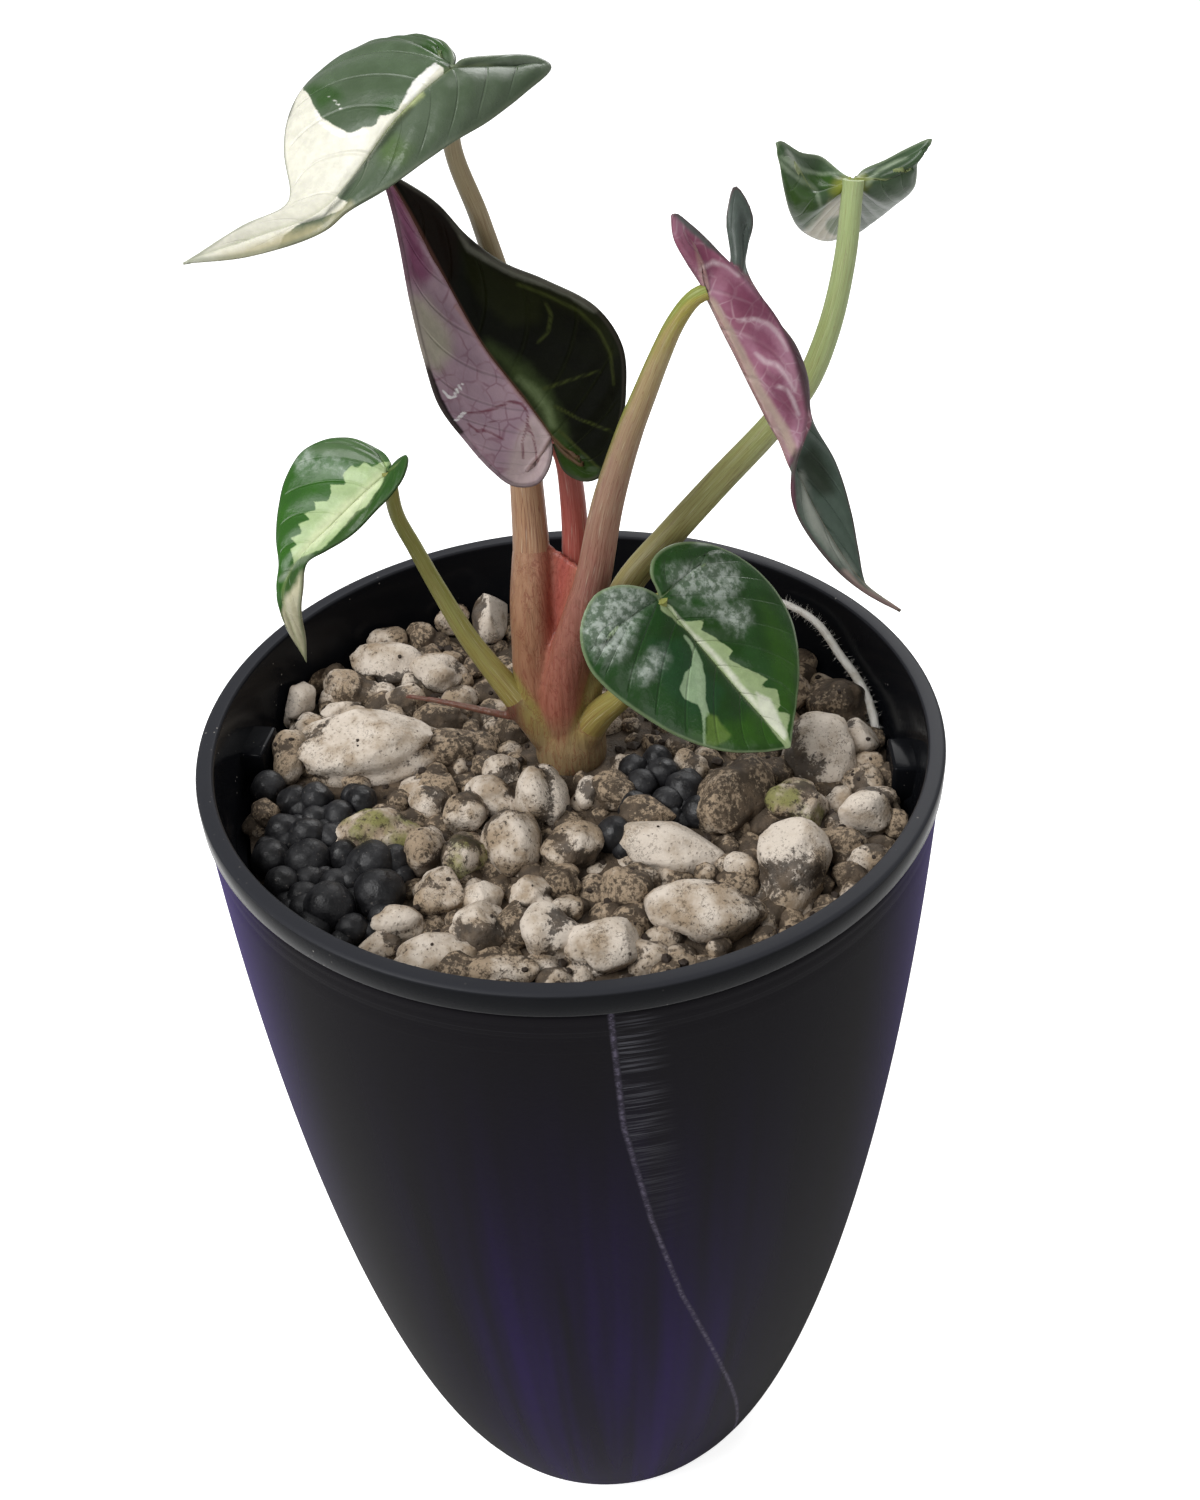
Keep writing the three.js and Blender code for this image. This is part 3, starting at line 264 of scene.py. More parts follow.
# Glint and sheen marks are painted highlights and shade marks painted shade; other painted light is noted
# at its marks.
MARKS = {
    "leaf_upper_left": [
        ("cream", "left", [
            (296, 88), (305, 90), (311, 97), (315, 106), (320, 116), (331, 124), (343, 132), (354, 134),
            (366, 128), (377, 127), (380, 118), (392, 116), (399, 112), (402, 103), (410, 98),
            (412, 90), (421, 84), (419, 78), (427, 76), (438, 65), (445, 72), (430, 120), (400, 150),
            (372, 185), (350, 215), (325, 250), (250, 300), (160, 290), (160, 250), (230, 225),
            (262, 200), (270, 150), (280, 105)]),
        ("cream", "right", [
            (350, 204), (342, 212), (326, 219), (300, 227), (284, 238), (250, 300), (160, 290),
            (160, 250), (230, 225), (270, 205), (320, 190)]),
        ("deep", "left", [(415, 50), (420, 45), (433, 41), (446, 44), (452, 52), (440, 57), (426, 55)]),
        ("deep", "left", [
            (305, 89), (316, 86), (331, 88), (342, 93), (347, 101), (333, 105), (324, 111), (314, 101)]),
        ("deep", "left", [
            (377, 107), (386, 100), (396, 97), (401, 101), (397, 109), (389, 115), (380, 117)]),
        # Of the streaks below, the first is the white midrib; the second, a wet-looking arc, and the
        # third, a row of thin glints, are painted highlights
        ("streak", "left", [(437, 68, 3), (427, 77, 4), (417, 88, 5), (411, 97, 4), (405, 104, 2)]),
        ("streak", "left", [
            (318, 114, 2), (322, 124, 2.5), (333, 132, 3), (348, 137, 2.5), (362, 134, 2),
            (371, 131, 1)]),
        ("streak", "left", [(330, 99, 1), (338, 104, 1.5), (343, 111, 1)]),
        ("lime", "right", [(422, 97, 3), (407, 109, 5), (394, 121, 6), (381, 137, 5), (367, 152, 3)]),
        # Painted shade: dark lines along the valley fold of the midrib and at the turned edge of the left
        # half
        ("crease_shade", "right", [
            (414, 110, 1.5), (399, 124, 3), (386, 141, 4), (373, 156, 3), (358, 178, 2), (342, 203, 2),
            (326, 218, 1.5), (302, 227, 1)]),
        ("crease_shade", "left", [(298, 94, 1.5), (293, 104, 3), (290, 118, 1.5)]),
        ("green", "right", [(391, 134), (412, 148), (404, 164), (384, 166), (379, 152)]),
        # Painted sheen: grey reflection on the glossy right half near its lobe
        ("painted_silver_sheen", "right", [(452, 84, 2), (466, 76, 5), (486, 72, 6), (505, 76, 4)]),
        ("painted_silver_sheen", "right", [(500, 64, 2), (524, 62, 4), (545, 66, 3)]),
        ("tan", "right", [(352, 207, 3), (327, 229, 5), (290, 241, 6), (240, 258, 6), (198, 270, 5)]),
    ],
    "leaf_centre": [
        ("magenta", "left", [
            (381, 184), (402, 184), (410, 215), (421, 245), (430, 275), (418, 287), (405, 275),
            (400, 240), (392, 215)]),
        ("cream", "left", [
            (410, 298), (424, 300), (437, 318), (447, 336), (449, 352), (436, 371), (424, 366),
            (418, 345), (411, 320)]),
        ("pale", "left", [
            (519, 432), (527, 418), (541, 410), (556, 428), (555, 452), (550, 472), (535, 486),
            (514, 491), (503, 478), (508, 455)]),
        ("dark", "left", [(421, 356, 1.5), (429, 378, 3), (436, 400, 4), (446, 416, 3), (460, 433, 2)]),
        ("vein", "left", [
            (523, 404, 1.6), (509, 402, 1.6), (495, 408, 1.5), (478, 413, 1.4), (460, 414, 1)]),
        ("vein", "left", [
            (523, 405, 1.6), (527, 414, 1.6), (526, 427, 1.5), (521, 442, 1.2), (522, 458, 1)]),
        ("vein", "left", [(527, 424, 1.2), (533, 440, 1.2), (537, 462, 1)]),
        ("vein", "left", [(503, 440, 0.8), (488, 432, 1), (474, 430, 0.8), (466, 424, 0.8)]),
        ("vein", "left", [(500, 420, 0.8), (486, 424, 0.9), (470, 438, 0.8)]),
        ("vein", "left", [(503, 370, 1), (513, 382, 1.3), (522, 396, 1.2)]),
        ("ridge", "left", [
            (455, 305, 1.5), (480, 340, 2.5), (500, 366, 3), (520, 391, 4), (545, 416, 4),
            (553, 432, 3)]),
        ("glint", "left", [(440, 390, 1), (447, 398, 1.6), (454, 396, 1.4), (461, 384, 1.4)]),
        ("glint", "left", [(452, 393, 1.2), (456, 386, 1.2), (460, 391, 1.2)]),
        ("glint", "left", [(454, 421, 1.8), (462, 414, 1.8), (466, 412, 1)]),
        ("brown", "right", [(400, 178), (440, 205), (462, 235), (450, 300), (425, 260), (410, 215)]),
        ("moss", "right", [
            (462, 240), (500, 270), (545, 290), (540, 320), (510, 325), (480, 300), (465, 270)]),
        ("glow", "right", [
            (488, 345, 3), (503, 356, 6), (522, 374, 10), (540, 395, 11), (552, 415, 9), (560, 440, 8)]),
        ("core", "right", [(520, 378, 2), (535, 390, 4), (547, 405, 4), (553, 425, 3)]),
        ("olive", "right", [(545, 388, 1.8), (570, 379, 1.5), (602, 370, 1.2)]),
        ("olive", "right", [(555, 405, 1.8), (582, 419, 1.5), (614, 431, 1.2)]),
        ("olive", "right", [(560, 430, 1.6), (578, 447, 1.4), (600, 468, 1.2)]),
        ("olive", "right", [(546, 300, 1.6), (552, 313, 2), (549, 330, 1.8), (538, 342, 1.5)]),
        ("olive", "right", [
            (518, 282, 1.6), (550, 294, 1.6), (580, 309, 1.6), (601, 330, 1.6), (612, 352, 1.4),
            (616, 385, 1)]),
        ("moss", "right", [(500, 276, 5), (540, 288, 6), (576, 304, 7), (603, 325, 6), (615, 352, 4)]),
        ("lobe_green", "right", [
            (552, 430), (566, 440), (585, 457), (602, 470), (597, 484), (573, 484), (558, 468),
            (550, 452)]),
        # Painted reflection: a grey band along the rolled margin of the dark half
        ("rim", "right", [
            (402, 179, 2), (425, 192, 2), (445, 206, 2.5), (460, 229, 2.5), (470, 247, 3),
            (490, 258, 3.5), (515, 271, 3), (545, 282, 2.5), (570, 293, 2), (596, 309, 2)]),
    ],
    "leaf_hanging_right": [
        ("deep_rose", "both", [(684, 236), (704, 250), (716, 268), (706, 276), (690, 256)]),
        ("deep_rose", "both", [
            (722, 273), (745, 285), (766, 306), (777, 328), (762, 321), (741, 317), (727, 298)]),
        ("deep_rose", "both", [(746, 326), (764, 328), (776, 346), (784, 368), (768, 358), (752, 345)]),
        ("deep_rose", "both", [(764, 368), (784, 376), (792, 392), (796, 412), (786, 428), (774, 402)]),
        ("pale", "both", [
            (737, 320, 1.4), (752, 318, 1.6), (766, 323, 1.8), (777, 334, 1.6), (786, 350, 1.2)]),
        ("pale", "both", [
            (755, 353, 1.2), (765, 361, 2), (776, 364, 2), (785, 374, 1.6), (794, 390, 1.2)]),
        ("pale", "both", [(700, 268, 1.4), (711, 262, 1.4), (724, 266, 1.2), (738, 276, 1)]),
        ("pale", "both", [(776, 385, 1.4), (786, 388, 2), (792, 400, 1.8), (797, 414, 1.2)]),
        ("bone", "both", [
            (712, 300, 2), (727, 326, 3), (745, 361, 3.5), (765, 399, 4.5), (781, 426, 5),
            (795, 453, 4)]),
        ("dark", "both", [
            (718, 250, 1.5), (738, 266, 2.5), (757, 284, 3.5), (773, 306, 4), (786, 331, 4),
            (797, 356, 4.5), (804, 382, 5), (808, 408, 3.5)]),
        ("fold", "both", [
            (668, 208), (690, 212), (713, 238), (722, 256), (705, 247), (690, 234), (678, 222)]),
        ("ear", "both", [
            (728, 180), (740, 180), (756, 215), (752, 255), (744, 276), (732, 262), (724, 225)]),
        ("lower", "both", [
            (792, 470), (800, 446), (808, 428), (815, 400), (870, 470), (930, 620), (880, 628),
            (800, 560)]),
        ("shade", "both", [(796, 455), (812, 443), (826, 465), (832, 492), (818, 496), (802, 478)]),
        ("glint", "both", [
            (800, 474, 1.5), (803, 494, 4), (810, 514, 6), (820, 534, 5), (835, 554, 4),
            (850, 571, 2.5)]),
        ("dark", "both", [(796, 450, 2), (792, 475, 3), (794, 500, 3), (803, 525, 2.5), (820, 548, 2)]),
        ("tan", "both", [(842, 571, 2), (860, 590, 2.5), (880, 603, 3.5), (902, 612, 3)]),
    ],
    "leaf_upper_right": [
        ("cream", "both", [
            (803, 229), (818, 214), (828, 200), (845, 192), (845, 214), (830, 216), (825, 222),
            (828, 231), (843, 234), (825, 240), (806, 237)]),
        ("olive", "both", [(825, 218), (844, 212), (845, 232), (833, 233), (825, 227)]),
        ("bright", "both", [(802, 175), (826, 175), (837, 180), (829, 191), (814, 190)]),
        ("yellow", "both", [
            (836, 182), (850, 175), (862, 176), (868, 182), (862, 192), (840, 198), (831, 193)]),
        ("pale", "both", [
            (779, 160, 1.4), (790, 172, 1.6), (801, 181, 1.6), (815, 191, 1.6), (821, 206, 1.6),
            (808, 227, 1.2)]),
        ("pale", "both", [(781, 156, 1.2), (800, 171, 1.6), (822, 176, 1.4), (846, 174, 1.2)]),
        ("glint", "both", [(785, 152, 1.2), (790, 160, 1.8), (796, 169, 1.6)]),
        ("green", "both", [
            (786, 178), (800, 186), (814, 198), (818, 212), (806, 228), (796, 215), (790, 195)]),
        ("pale", "both", [(866, 183, 1.4), (880, 172, 1.6), (898, 163, 1.8), (909, 159, 1.2)]),
    ],
    "leaf_left": [
        ("grey", "both", [
            (308, 452), (325, 442), (345, 438), (370, 442), (390, 454), (396, 463), (380, 463),
            (362, 466), (345, 460), (325, 457)]),
        # Painted sheen on the glossy left half
        ("painted_silver_sheen", "left", [
            (294, 462), (300, 453), (310, 450), (317, 461), (330, 455), (343, 462), (352, 466),
            (345, 475), (330, 471), (315, 470), (300, 474)]),
        ("core", "both", [
            (396, 462), (386, 469), (386, 482), (376, 496), (366, 509), (353, 516), (346, 526),
            (333, 541), (321, 551), (306, 558), (295, 564), (292, 550), (299, 546), (292, 539),
            (304, 534), (299, 525), (310, 521), (305, 514), (318, 511), (314, 502), (329, 502),
            (332, 494), (330, 486), (347, 486), (344, 475), (353, 466), (358, 470), (366, 462),
            (372, 469), (384, 463)]),
        ("white", "both", [
            (380, 478, 4), (362, 499, 6), (342, 515, 7), (325, 531, 7), (311, 545, 5), (300, 556, 2.5)]),
        ("deep", "both", [
            (386, 470), (398, 462), (408, 455), (404, 478), (392, 494), (372, 509), (384, 490)]),
        ("cream", "both", [
            (303, 572), (310, 566), (306, 582), (304, 608), (314, 635), (322, 668), (302, 664),
            (284, 634), (281, 612), (287, 596), (297, 584)]),
        ("fold", "both", [(282, 580, 2), (291, 570, 3), (300, 564, 2.5), (313, 557, 1.5)]),
    ],
    "leaf_front": [
        ("streak", "both", [
            (657, 598), (671, 605), (679, 619), (690, 622), (704, 619), (700, 630), (713, 636),
            (721, 643), (731, 651), (727, 658), (742, 667), (757, 674), (766, 680), (759, 687),
            (776, 690), (779, 706), (775, 712), (789, 715), (786, 731), (789, 742), (797, 750),
            (786, 750), (773, 736), (759, 716), (744, 697), (724, 675), (704, 652), (689, 635),
            (672, 621), (659, 610)]),
        ("white", "right", [
            (755, 692), (769, 699), (777, 715), (786, 736), (783, 745), (769, 727), (757, 709)]),
        ("white", "right", [
            (668, 606, 1.5), (690, 632, 2), (712, 652, 2), (738, 684, 2.5), (757, 706, 2)]),
        ("second", "left", [
            (694, 648), (701, 664), (704, 680), (704, 700), (708, 716), (702, 718), (697, 705),
            (691, 703), (683, 699), (678, 690), (683, 674), (690, 667), (691, 655)]),
        ("white", "left", [(695, 662, 1.5), (698, 680, 3), (699, 698, 2), (703, 716, 1)]),
        ("second", "left", [(683, 637, 1.5), (690, 646, 1.8), (693, 656, 1.5)]),
        ("second", "left", [(702, 714, 1.5), (704, 745, 1.2)]),
        ("patch", "left", [
            (706, 714), (716, 718), (723, 728), (730, 735), (723, 743), (712, 746), (704, 744),
            (705, 729)]),
        ("sheen", "left", [
            (604, 589), (625, 585), (643, 590), (647, 605), (636, 621), (628, 641), (622, 656),
            (608, 660), (591, 651), (583, 630), (586, 609), (596, 599)]),
        ("sheen", "left", [
            (634, 674), (642, 664), (652, 652), (661, 650), (663, 662), (652, 676), (640, 682)]),
        ("sheen", "right", [
            (666, 568), (690, 566), (715, 562), (733, 570), (739, 586), (727, 600), (708, 603),
            (690, 591), (684, 604), (674, 586)]),
        ("sheen", "right", [(697, 612), (712, 606), (745, 607), (748, 622), (738, 632), (716, 616)]),
        ("deep", "left", [
            (648, 640), (680, 640), (700, 668), (722, 690), (715, 712), (690, 715), (665, 690),
            (650, 665)]),
        ("bright", "both", [
            (760, 600), (797, 650), (797, 700), (792, 748), (720, 752), (690, 735), (740, 720),
            (775, 690)]),
    ],
}

# Petioles, from the stem base to the notch of their leaf

PETIOLES = {
    "petiole_upper_left": {
        "points": [(-1.5, 8.2, 147), (-3.9, 8.5, 153.4), (-4.2, 9, 161.6), (-4.2, 9.8, 167.5),
            (-3.7, 12, 174), (-3.7, 14.5, 181.7), (-3.8, 16.5, 193.6), (-4.4, 16.5, 205.7),
            (-6.8, 14, 218), (-9.1, 11, 227.7), (-8.3, 8.4, 236.4)],
        "radii": [3, 2.8, 2.5, 2.1, 1.7, 1.3, 1.1, 0.9],
    },
    "petiole_centre": {
        "points": [(-0.4, 8.8, 147), (-0.8, 10.4, 153.5), (0.8, 12.4, 162.4), (2.1, 12.8, 171.6),
            (2.2, 13.4, 180.7), (1.6, 13.4, 186.7), (0.2, 12, 190.6), (-0.1, 10, 191.9)],
        "radii": [2.8, 2.4, 2, 1.8, 1.6, 1.2],
    },
    "petiole_hanging_right": {
        "points": [(-0.4, 7, 147), (-0.9, 6.5, 152.9), (1, 6, 161.6), (4, 5.2, 172.5),
            (6.4, 2.8, 185.7), (9.2, 0.4, 196.5), (11.1, -1.2, 202.4), (12.8, -2.6, 207.5),
            (14.3, -3.8, 211.5), (15.8, -4.6, 214.2), (16.8, -5, 215.3), (17.8, -5, 215.7)],
        "radii": [3, 2.7, 2.4, 2.1, 1.7, 1.3, 0.9],
    },
    "petiole_upper_right": {
        "points": [(1, 7.6, 147), (2.4, 7.6, 154), (5.2, 9.2, 161), (9, 11, 168.3), (14.9, 13, 174.4),
            (21.7, 14, 181.7), (28, 15, 188.1), (32.7, 16, 193.6), (35.5, 17, 200.4),
            (37.3, 18.3, 208.9), (38.1, 20, 218.1)],
        "radii": [2.4, 2.1, 2, 1.9, 1.8, 1.6, 1.4, 1.3],
    },
    "petiole_left": {
        "points": [(-1, 7.2, 143.5), (-5.5, 7.2, 150.7), (-9, 8, 155.9), (-12.9, 9.5, 161.9),
            (-16.3, 11, 168.9), (-18.9, 11, 176), (-20.7, 10.5, 181.7), (-20.9, 10, 187.9)],
        "radii": [2.6, 2.2, 1.6, 1.3, 1.1, 1, 0.9],
    },
    "petiole_front": {
        "points": [(0, 6.8, 143.5), (4.2, 4.5, 151.6), (7.9, 3, 156.2), (10.9, 2.2, 161.6),
            (12.3, 1.8, 166.9), (12.5, 0.5, 172.7)],
        "radii": [2.6, 2.3, 1.8, 1.4, 1.2, 1],
    },
}

DRY_ROOT = [(-3, 7.4, 149), (-8.4, 7, 150.4), (-13.6, 8, 151.4), (-18.4, 10.4, 151.2),
            (-23, 12.6, 150.8)]
DRY_ROOT_RADII = [0.7, 0.6, 0.5, 0.4]
WHITE_ROOT = [(32.6, 31.9, 150.4), (35.4, 28.6, 150.6), (38, 25.2, 150), (40.8, 20.5, 147.2),
              (42.4, 17, 146), (43.6, 12, 144.6), (43.9, 8.4, 142.2), (42.6, 6.4, 138.6)]
WHITE_ROOT_RADII = [0.5, 0.6, 0.65, 0.6]

# Pumice lumps: centre x and y, half length, half height, heading in degrees,
# and tone: w clean, t tan, d dark with dirt, g greenish

LUMPS = [
    (-28.7, 8.7, 9.4, 5.4, 0, "w"), (-41, 21.5, 3.2, 3.2, 0, "w"), (-40, 28, 3.6, 2.4, 0, "d"),
    (-32.2, 23, 4, 3.2, 0, "t"), (-36.2, 28.6, 2.4, 2.1, 0, "d"), (-27.6, 36, 3, 3, 0, "t"),
    (-27.2, 29.7, 5.2, 3.3, -10, "w"), (-21.4, 35.5, 3.2, 2.7, 0, "d"), (-19.2, 26.7, 4, 2.9, 0, "w"),
    (-33.5, 18.6, 3.1, 2, 20, "w"), (-38.2, 15.7, 2.6, 2.1, 0, "t"), (-40.1, 8.5, 2.4, 3.6, 0, "t"),
    (-42.4, -2.7, 1.8, 2, 0, "d"), (-26.9, -9.4, 6, 3.5, 14, "g"), (-20.1, -13.4, 2.8, 3.8, 0, "t"),
    (-15.2, -14.8, 3.2, 3.4, 0, "g"), (-19.8, -3.2, 2.8, 2.5, 0, "t"), (-14.8, -6.2, 2.8, 3.1, 0, "t"),
    (-9.9, 2.4, 2.8, 2.4, 0, "w"), (-4.4, -3.6, 3.5, 4.4, 0, "w"), (-11.3, -2.3, 4.2, 2.6, -30, "w"),
    (-8.9, -12.9, 3.9, 4.2, 0, "t"), (-18, -20.9, 3.3, 2.9, 0, "t"), (-12.5, -22.6, 2.5, 2.2, 0, "w"),
    (-12.5, -28.6, 3.6, 3.3, 35, "w"), (-18.6, -32.2, 5.2, 2.6, 12, "w"), (-23.4, -26.2, 3.4, 2.2, 0, "w"),
    (-25.4, -29.9, 2.6, 1.9, 0, "t"), (-10.3, -35.3, 4.5, 2.1, -8, "t"), (-8.4, -27.9, 2.2, 2.9, 0, "d"),
    (-6.2, -23.2, 2.7, 2.7, 0, "w"), (-3.8, -29.7, 3.6, 3.5, 0, "w"), (-0.7, -14.8, 4, 3.3, 0, "t"),
    (-2.5, -20.8, 2.5, 2.3, 0, "d"), (-24.3, 20.2, 2.9, 2.4, 0, "t"), (-18.8, 15.6, 3.9, 2.4, 0, "d"),
    (-17, 8.8, 4.3, 2.4, 0, "d"), (-11.6, 39.8, 2.6, 4.6, 0, "w"), (-17.7, 41.6, 2.8, 2.6, 0, "t"),
    (2.2, -2.6, 1.9, 2.1, 0, "w"), (5.3, -3.6, 3, 3, 0, "d"), (9.5, -9.2, 3.6, 3, 0, "d"),
    (12.4, -15.5, 6.5, 3.4, -25, "w"), (21.7, -7.2, 5, 5.6, -14, "d"), (29.4, -9.2, 4, 3.9, 28, "g"),
    (27.3, -21.7, 4.4, 5.6, -20, "w"), (15.5, -28.8, 7.2, 4.3, -8, "t"), (21.3, -20.2, 2.4, 2.5, 0, "t"),
    (34.6, 1.2, 5, 5.4, -25, "w"), (40.4, 4.2, 3, 3.2, 0, "w"), (38.8, 13, 4.4, 4.1, -28, "d"),
    (39.6, -11.2, 4.6, 3.4, 28, "w"), (39.6, -4.6, 2.6, 2.2, 0, "t"), (34.4, -17.8, 4.2, 2.8, -20, "d"),
    (37.6, -20.4, 2.8, 2.4, 0, "t"), (33.4, 16.6, 2.6, 3.4, 0, "d"), (6.1, -23.4, 3, 3.2, 0, "d"),
    (2.7, -33.1, 4.7, 3.4, 12, "w"), (16.6, 1.4, 2.3, 2.2, 0, "t"), (-1.9, -25.4, 2, 1.8, 0, "t"),
    (27.1, -1.4, 2.9, 2.5, 0, "d"),
]

# Small lumps that fill the bed, soil crumbs, and hairs of the white root

FILL_SPOTS = 430
FILL_REACH = 44.6
FILL_SEED = 71
FILL_TONES = "tttddddd"
GOLDEN_ANGLE = 2.39996
CRUMB_COUNT = 520
CRUMB_REACH = 44
CRUMB_DROP_Z = 170
HAIR_COUNT = 420
HAIR_RADIUS = 0.045
HAIR_SEED = 4

# Black clay pellets: centre x and y, radius

PELLETS_LEFT = [
    (-42.6, 2.3, 2.4), (-38.7, -0.9, 2.2), (-35.6, -1, 2.4), (-39.4, -7.5, 2.5), (-36, -8.9, 2.7),
    (-40.4, -13, 2.6), (-35.5, -13.9, 2.9), (-38.6, -17.8, 2.4), (-31.9, -23.3, 3.3),
    (-27.2, -15.6, 3.2), (-24.2, -14.8, 2.4), (-25.6, -21.4, 3.3), (-29.4, -1.9, 2.3),
    (-32.2, -4.8, 2.2), (-28.9, -26.6, 2.1), (-32.8, -9.3, 2.1), (-31, -12.8, 2.1),
    (-31.5, -18.1, 2.2), (-35.6, -20.6, 2.2), (-35.4, -5, 2),
]
PELLETS_MIDDLE = [
    (4.7, -12.2, 2.5), (9.3, -2.4, 2.4), (12.4, -0.6, 2.5), (15.1, -4.4, 2.7), (11.9, 3, 2.2),
    (16.6, -8.6, 2.3), (8.5, 1.6, 2.1), (12.7, -6.3, 2.3), (8, -6.6, 2.2), (9.4, -12.4, 2),
]


def linear(code):
    """Turn a hex colour into the linear colour that materials use."""
    values = [int(code[i:i + 2], 16) / 255 for i in (0, 2, 4)]
    return [v / 12.92 if v <= 0.04045 else ((v + 0.055) / 1.055) ** 2.4 for v in values]


# The photograph's camera, in millimetres, degrees and the photograph's pixels

PHOTO_WIDTH = 1200
PHOTO_HEIGHT = 1500
PHOTO_FOCUS = 1600
CAMERA_DISTANCE = 216.1
CAMERA_DROP = 37.53
CAMERA_PAN = -1.02
CAMERA_TILT = -1.13
CAMERA_ROLL = 3.54

# A distance beyond any in the picture, in pixels, and the most that a spot is
# counted as outside a mark, in millimetres

FAR_PIXELS = 1e3
FAR_MM = 9.0


def camera_pose():
    """Where the photograph was taken from: place, right, up and ahead."""
    drop = math.radians(CAMERA_DROP)
    level = CAMERA_DISTANCE * math.cos(drop)
    place = Vector((0, -level, RIM_TOP + CAMERA_DISTANCE * math.sin(drop)))
    ahead = Vector((0, math.cos(drop), -math.sin(drop)))
    right = Vector((1, 0, 0))
    up = right.cross(ahead)
    turn = Matrix.Rotation(math.radians(CAMERA_PAN), 3, up)
    ahead, right = turn @ ahead, turn @ right
    turn = Matrix.Rotation(math.radians(CAMERA_TILT), 3, right)
    ahead, up = turn @ ahead, turn @ up
    turn = Matrix.Rotation(math.radians(CAMERA_ROLL), 3, ahead)
    return place, turn @ right, turn @ up, ahead


def photo_pixels(points):
    """Where points appear in the photograph, and the pixels per millimetre there."""
    place, right, up, ahead = (np.array(v) for v in camera_pose())
    reach = points - place
    depth = reach @ ahead
    x = PHOTO_WIDTH / 2 + PHOTO_FOCUS * (reach @ right) / depth
    y = PHOTO_HEIGHT / 2 - PHOTO_FOCUS * (reach @ up) / depth
    return np.stack([x, y], axis=-1), PHOTO_FOCUS / depth


def nearest_on(pixels, a, b):
    """Share along a line from a to b that is nearest each pixel, and the distance."""
    ab = b[:2] - a[:2]
    share = np.clip((pixels - a[:2]) @ ab / max(ab @ ab, 1e-9), 0, 1)
    return share, np.linalg.norm(pixels - (a[:2] + share[:, None] * ab), axis=1)


def inside_stroke(pixels, stroke):
    """How far inside a stroke each pixel lies, in pixels."""
    best = np.full(len(pixels), -FAR_PIXELS)
    for a, b in zip(stroke[:-1], stroke[1:]):
        share, gap = nearest_on(pixels, a, b)
        best = np.maximum(best, a[2] + share * (b[2] - a[2]) - gap)
    return best


def inside_area(pixels, area):
    """How far inside a closed area each pixel lies, in pixels."""
    gap = np.full(len(pixels), FAR_PIXELS)
    inside = np.zeros(len(pixels), bool)
    for a, b in zip(area, np.roll(area, -1, axis=0)):
        gap = np.minimum(gap, nearest_on(pixels, a, b)[1])
        if a[1] != b[1]:
            spans = (a[1] > pixels[:, 1]) != (b[1] > pixels[:, 1])
            cross = a[0] + (pixels[:, 1] - a[1]) * (b[0] - a[0]) / (b[1] - a[1])
            inside ^= spans & (pixels[:, 0] < cross)
    return np.where(inside, gap, -gap)


def mark_depths(points, marks, half):
    """How far inside each mark the points of a half lie, in millimetres."""
    pixels, scale = photo_pixels(points)
    depths = {mark: np.full(len(points), -FAR_MM) for mark, _, _ in marks}
    for mark, side, shape in marks:
        if side in (half, "both"):
            shape = np.array(shape, float)
            measure = inside_stroke if shape.shape[1] == 3 else inside_area
            depths[mark] = np.maximum(depths[mark], measure(pixels, shape) / scale)
    return depths


# Meshes

CURVE_STEPS = 400


def smooth_curve(points, shares):
    """Give points of the centripetal smooth curve at shares of its spans."""
    points = np.asarray(points, float)
    spans = len(points) - 1
    place = np.clip(np.asarray(shares, float), 0, 1) * spans
    span = np.minimum(place.astype(int), spans - 1)
    t = (place - span)[:, None]
    padded = np.vstack([2 * points[0] - points[1], points, 2 * points[-1] - points[-2]])
    p0, p1, p2, p3 = (padded[span + k] for k in range(4))
    d0, d1, d2 = (
        np.linalg.norm(b - a, axis=1, keepdims=True) ** 0.5
        for a, b in ((p0, p1), (p1, p2), (p2, p3))
    )
    start = ((p1 - p0) / d0 - (p2 - p0) / (d0 + d1) + (p2 - p1) / d1) * d1
    end = ((p2 - p1) / d1 - (p3 - p1) / (d1 + d2) + (p3 - p2) / d2) * d1
    bend = -3 * p1 + 3 * p2 - 2 * start - end
    return p1 + start * t + bend * t**2 + (2 * p1 - 2 * p2 + start + end) * t**3


def even_curve(points, shares):
    """Give points at shares of the smooth curve's length."""
    fine = smooth_curve(points, np.linspace(0, 1, CURVE_STEPS))
    steps = np.linalg.norm(np.diff(fine, axis=0), axis=1)
    reach = np.concatenate([[0], np.cumsum(steps)])
    wanted = np.asarray(shares, float) * reach[-1]
    return np.stack([np.interp(wanted, reach, fine[:, k]) for k in range(3)], axis=1)


def deselect():
    if bpy.context.mode != "OBJECT":
        bpy.ops.object.mode_set(mode="OBJECT")
    bpy.ops.object.select_all(action="DESELECT")


def pick(obj):
    deselect()
    obj.select_set(True)
    bpy.context.view_layer.objects.active = obj


def edit_all(obj):
    pick(obj)
    bpy.ops.object.mode_set(mode="EDIT")
    bpy.ops.mesh.select_all(action="SELECT")


def leave_edit():
    bpy.ops.object.mode_set(mode="OBJECT")


def join(objects, name):
    """Join objects into one and name it."""
    pick(objects[0])
    for obj in objects:
        obj.select_set(True)
    if len(objects) > 1:
        bpy.ops.object.join()
    obj = bpy.context.view_layer.objects.active
    obj.name = name
    obj.data.name = name
    return obj


def merge_doubles(obj, distance=1e-6):
    edit_all(obj)
    bpy.ops.mesh.remove_doubles(threshold=distance)
    leave_edit()


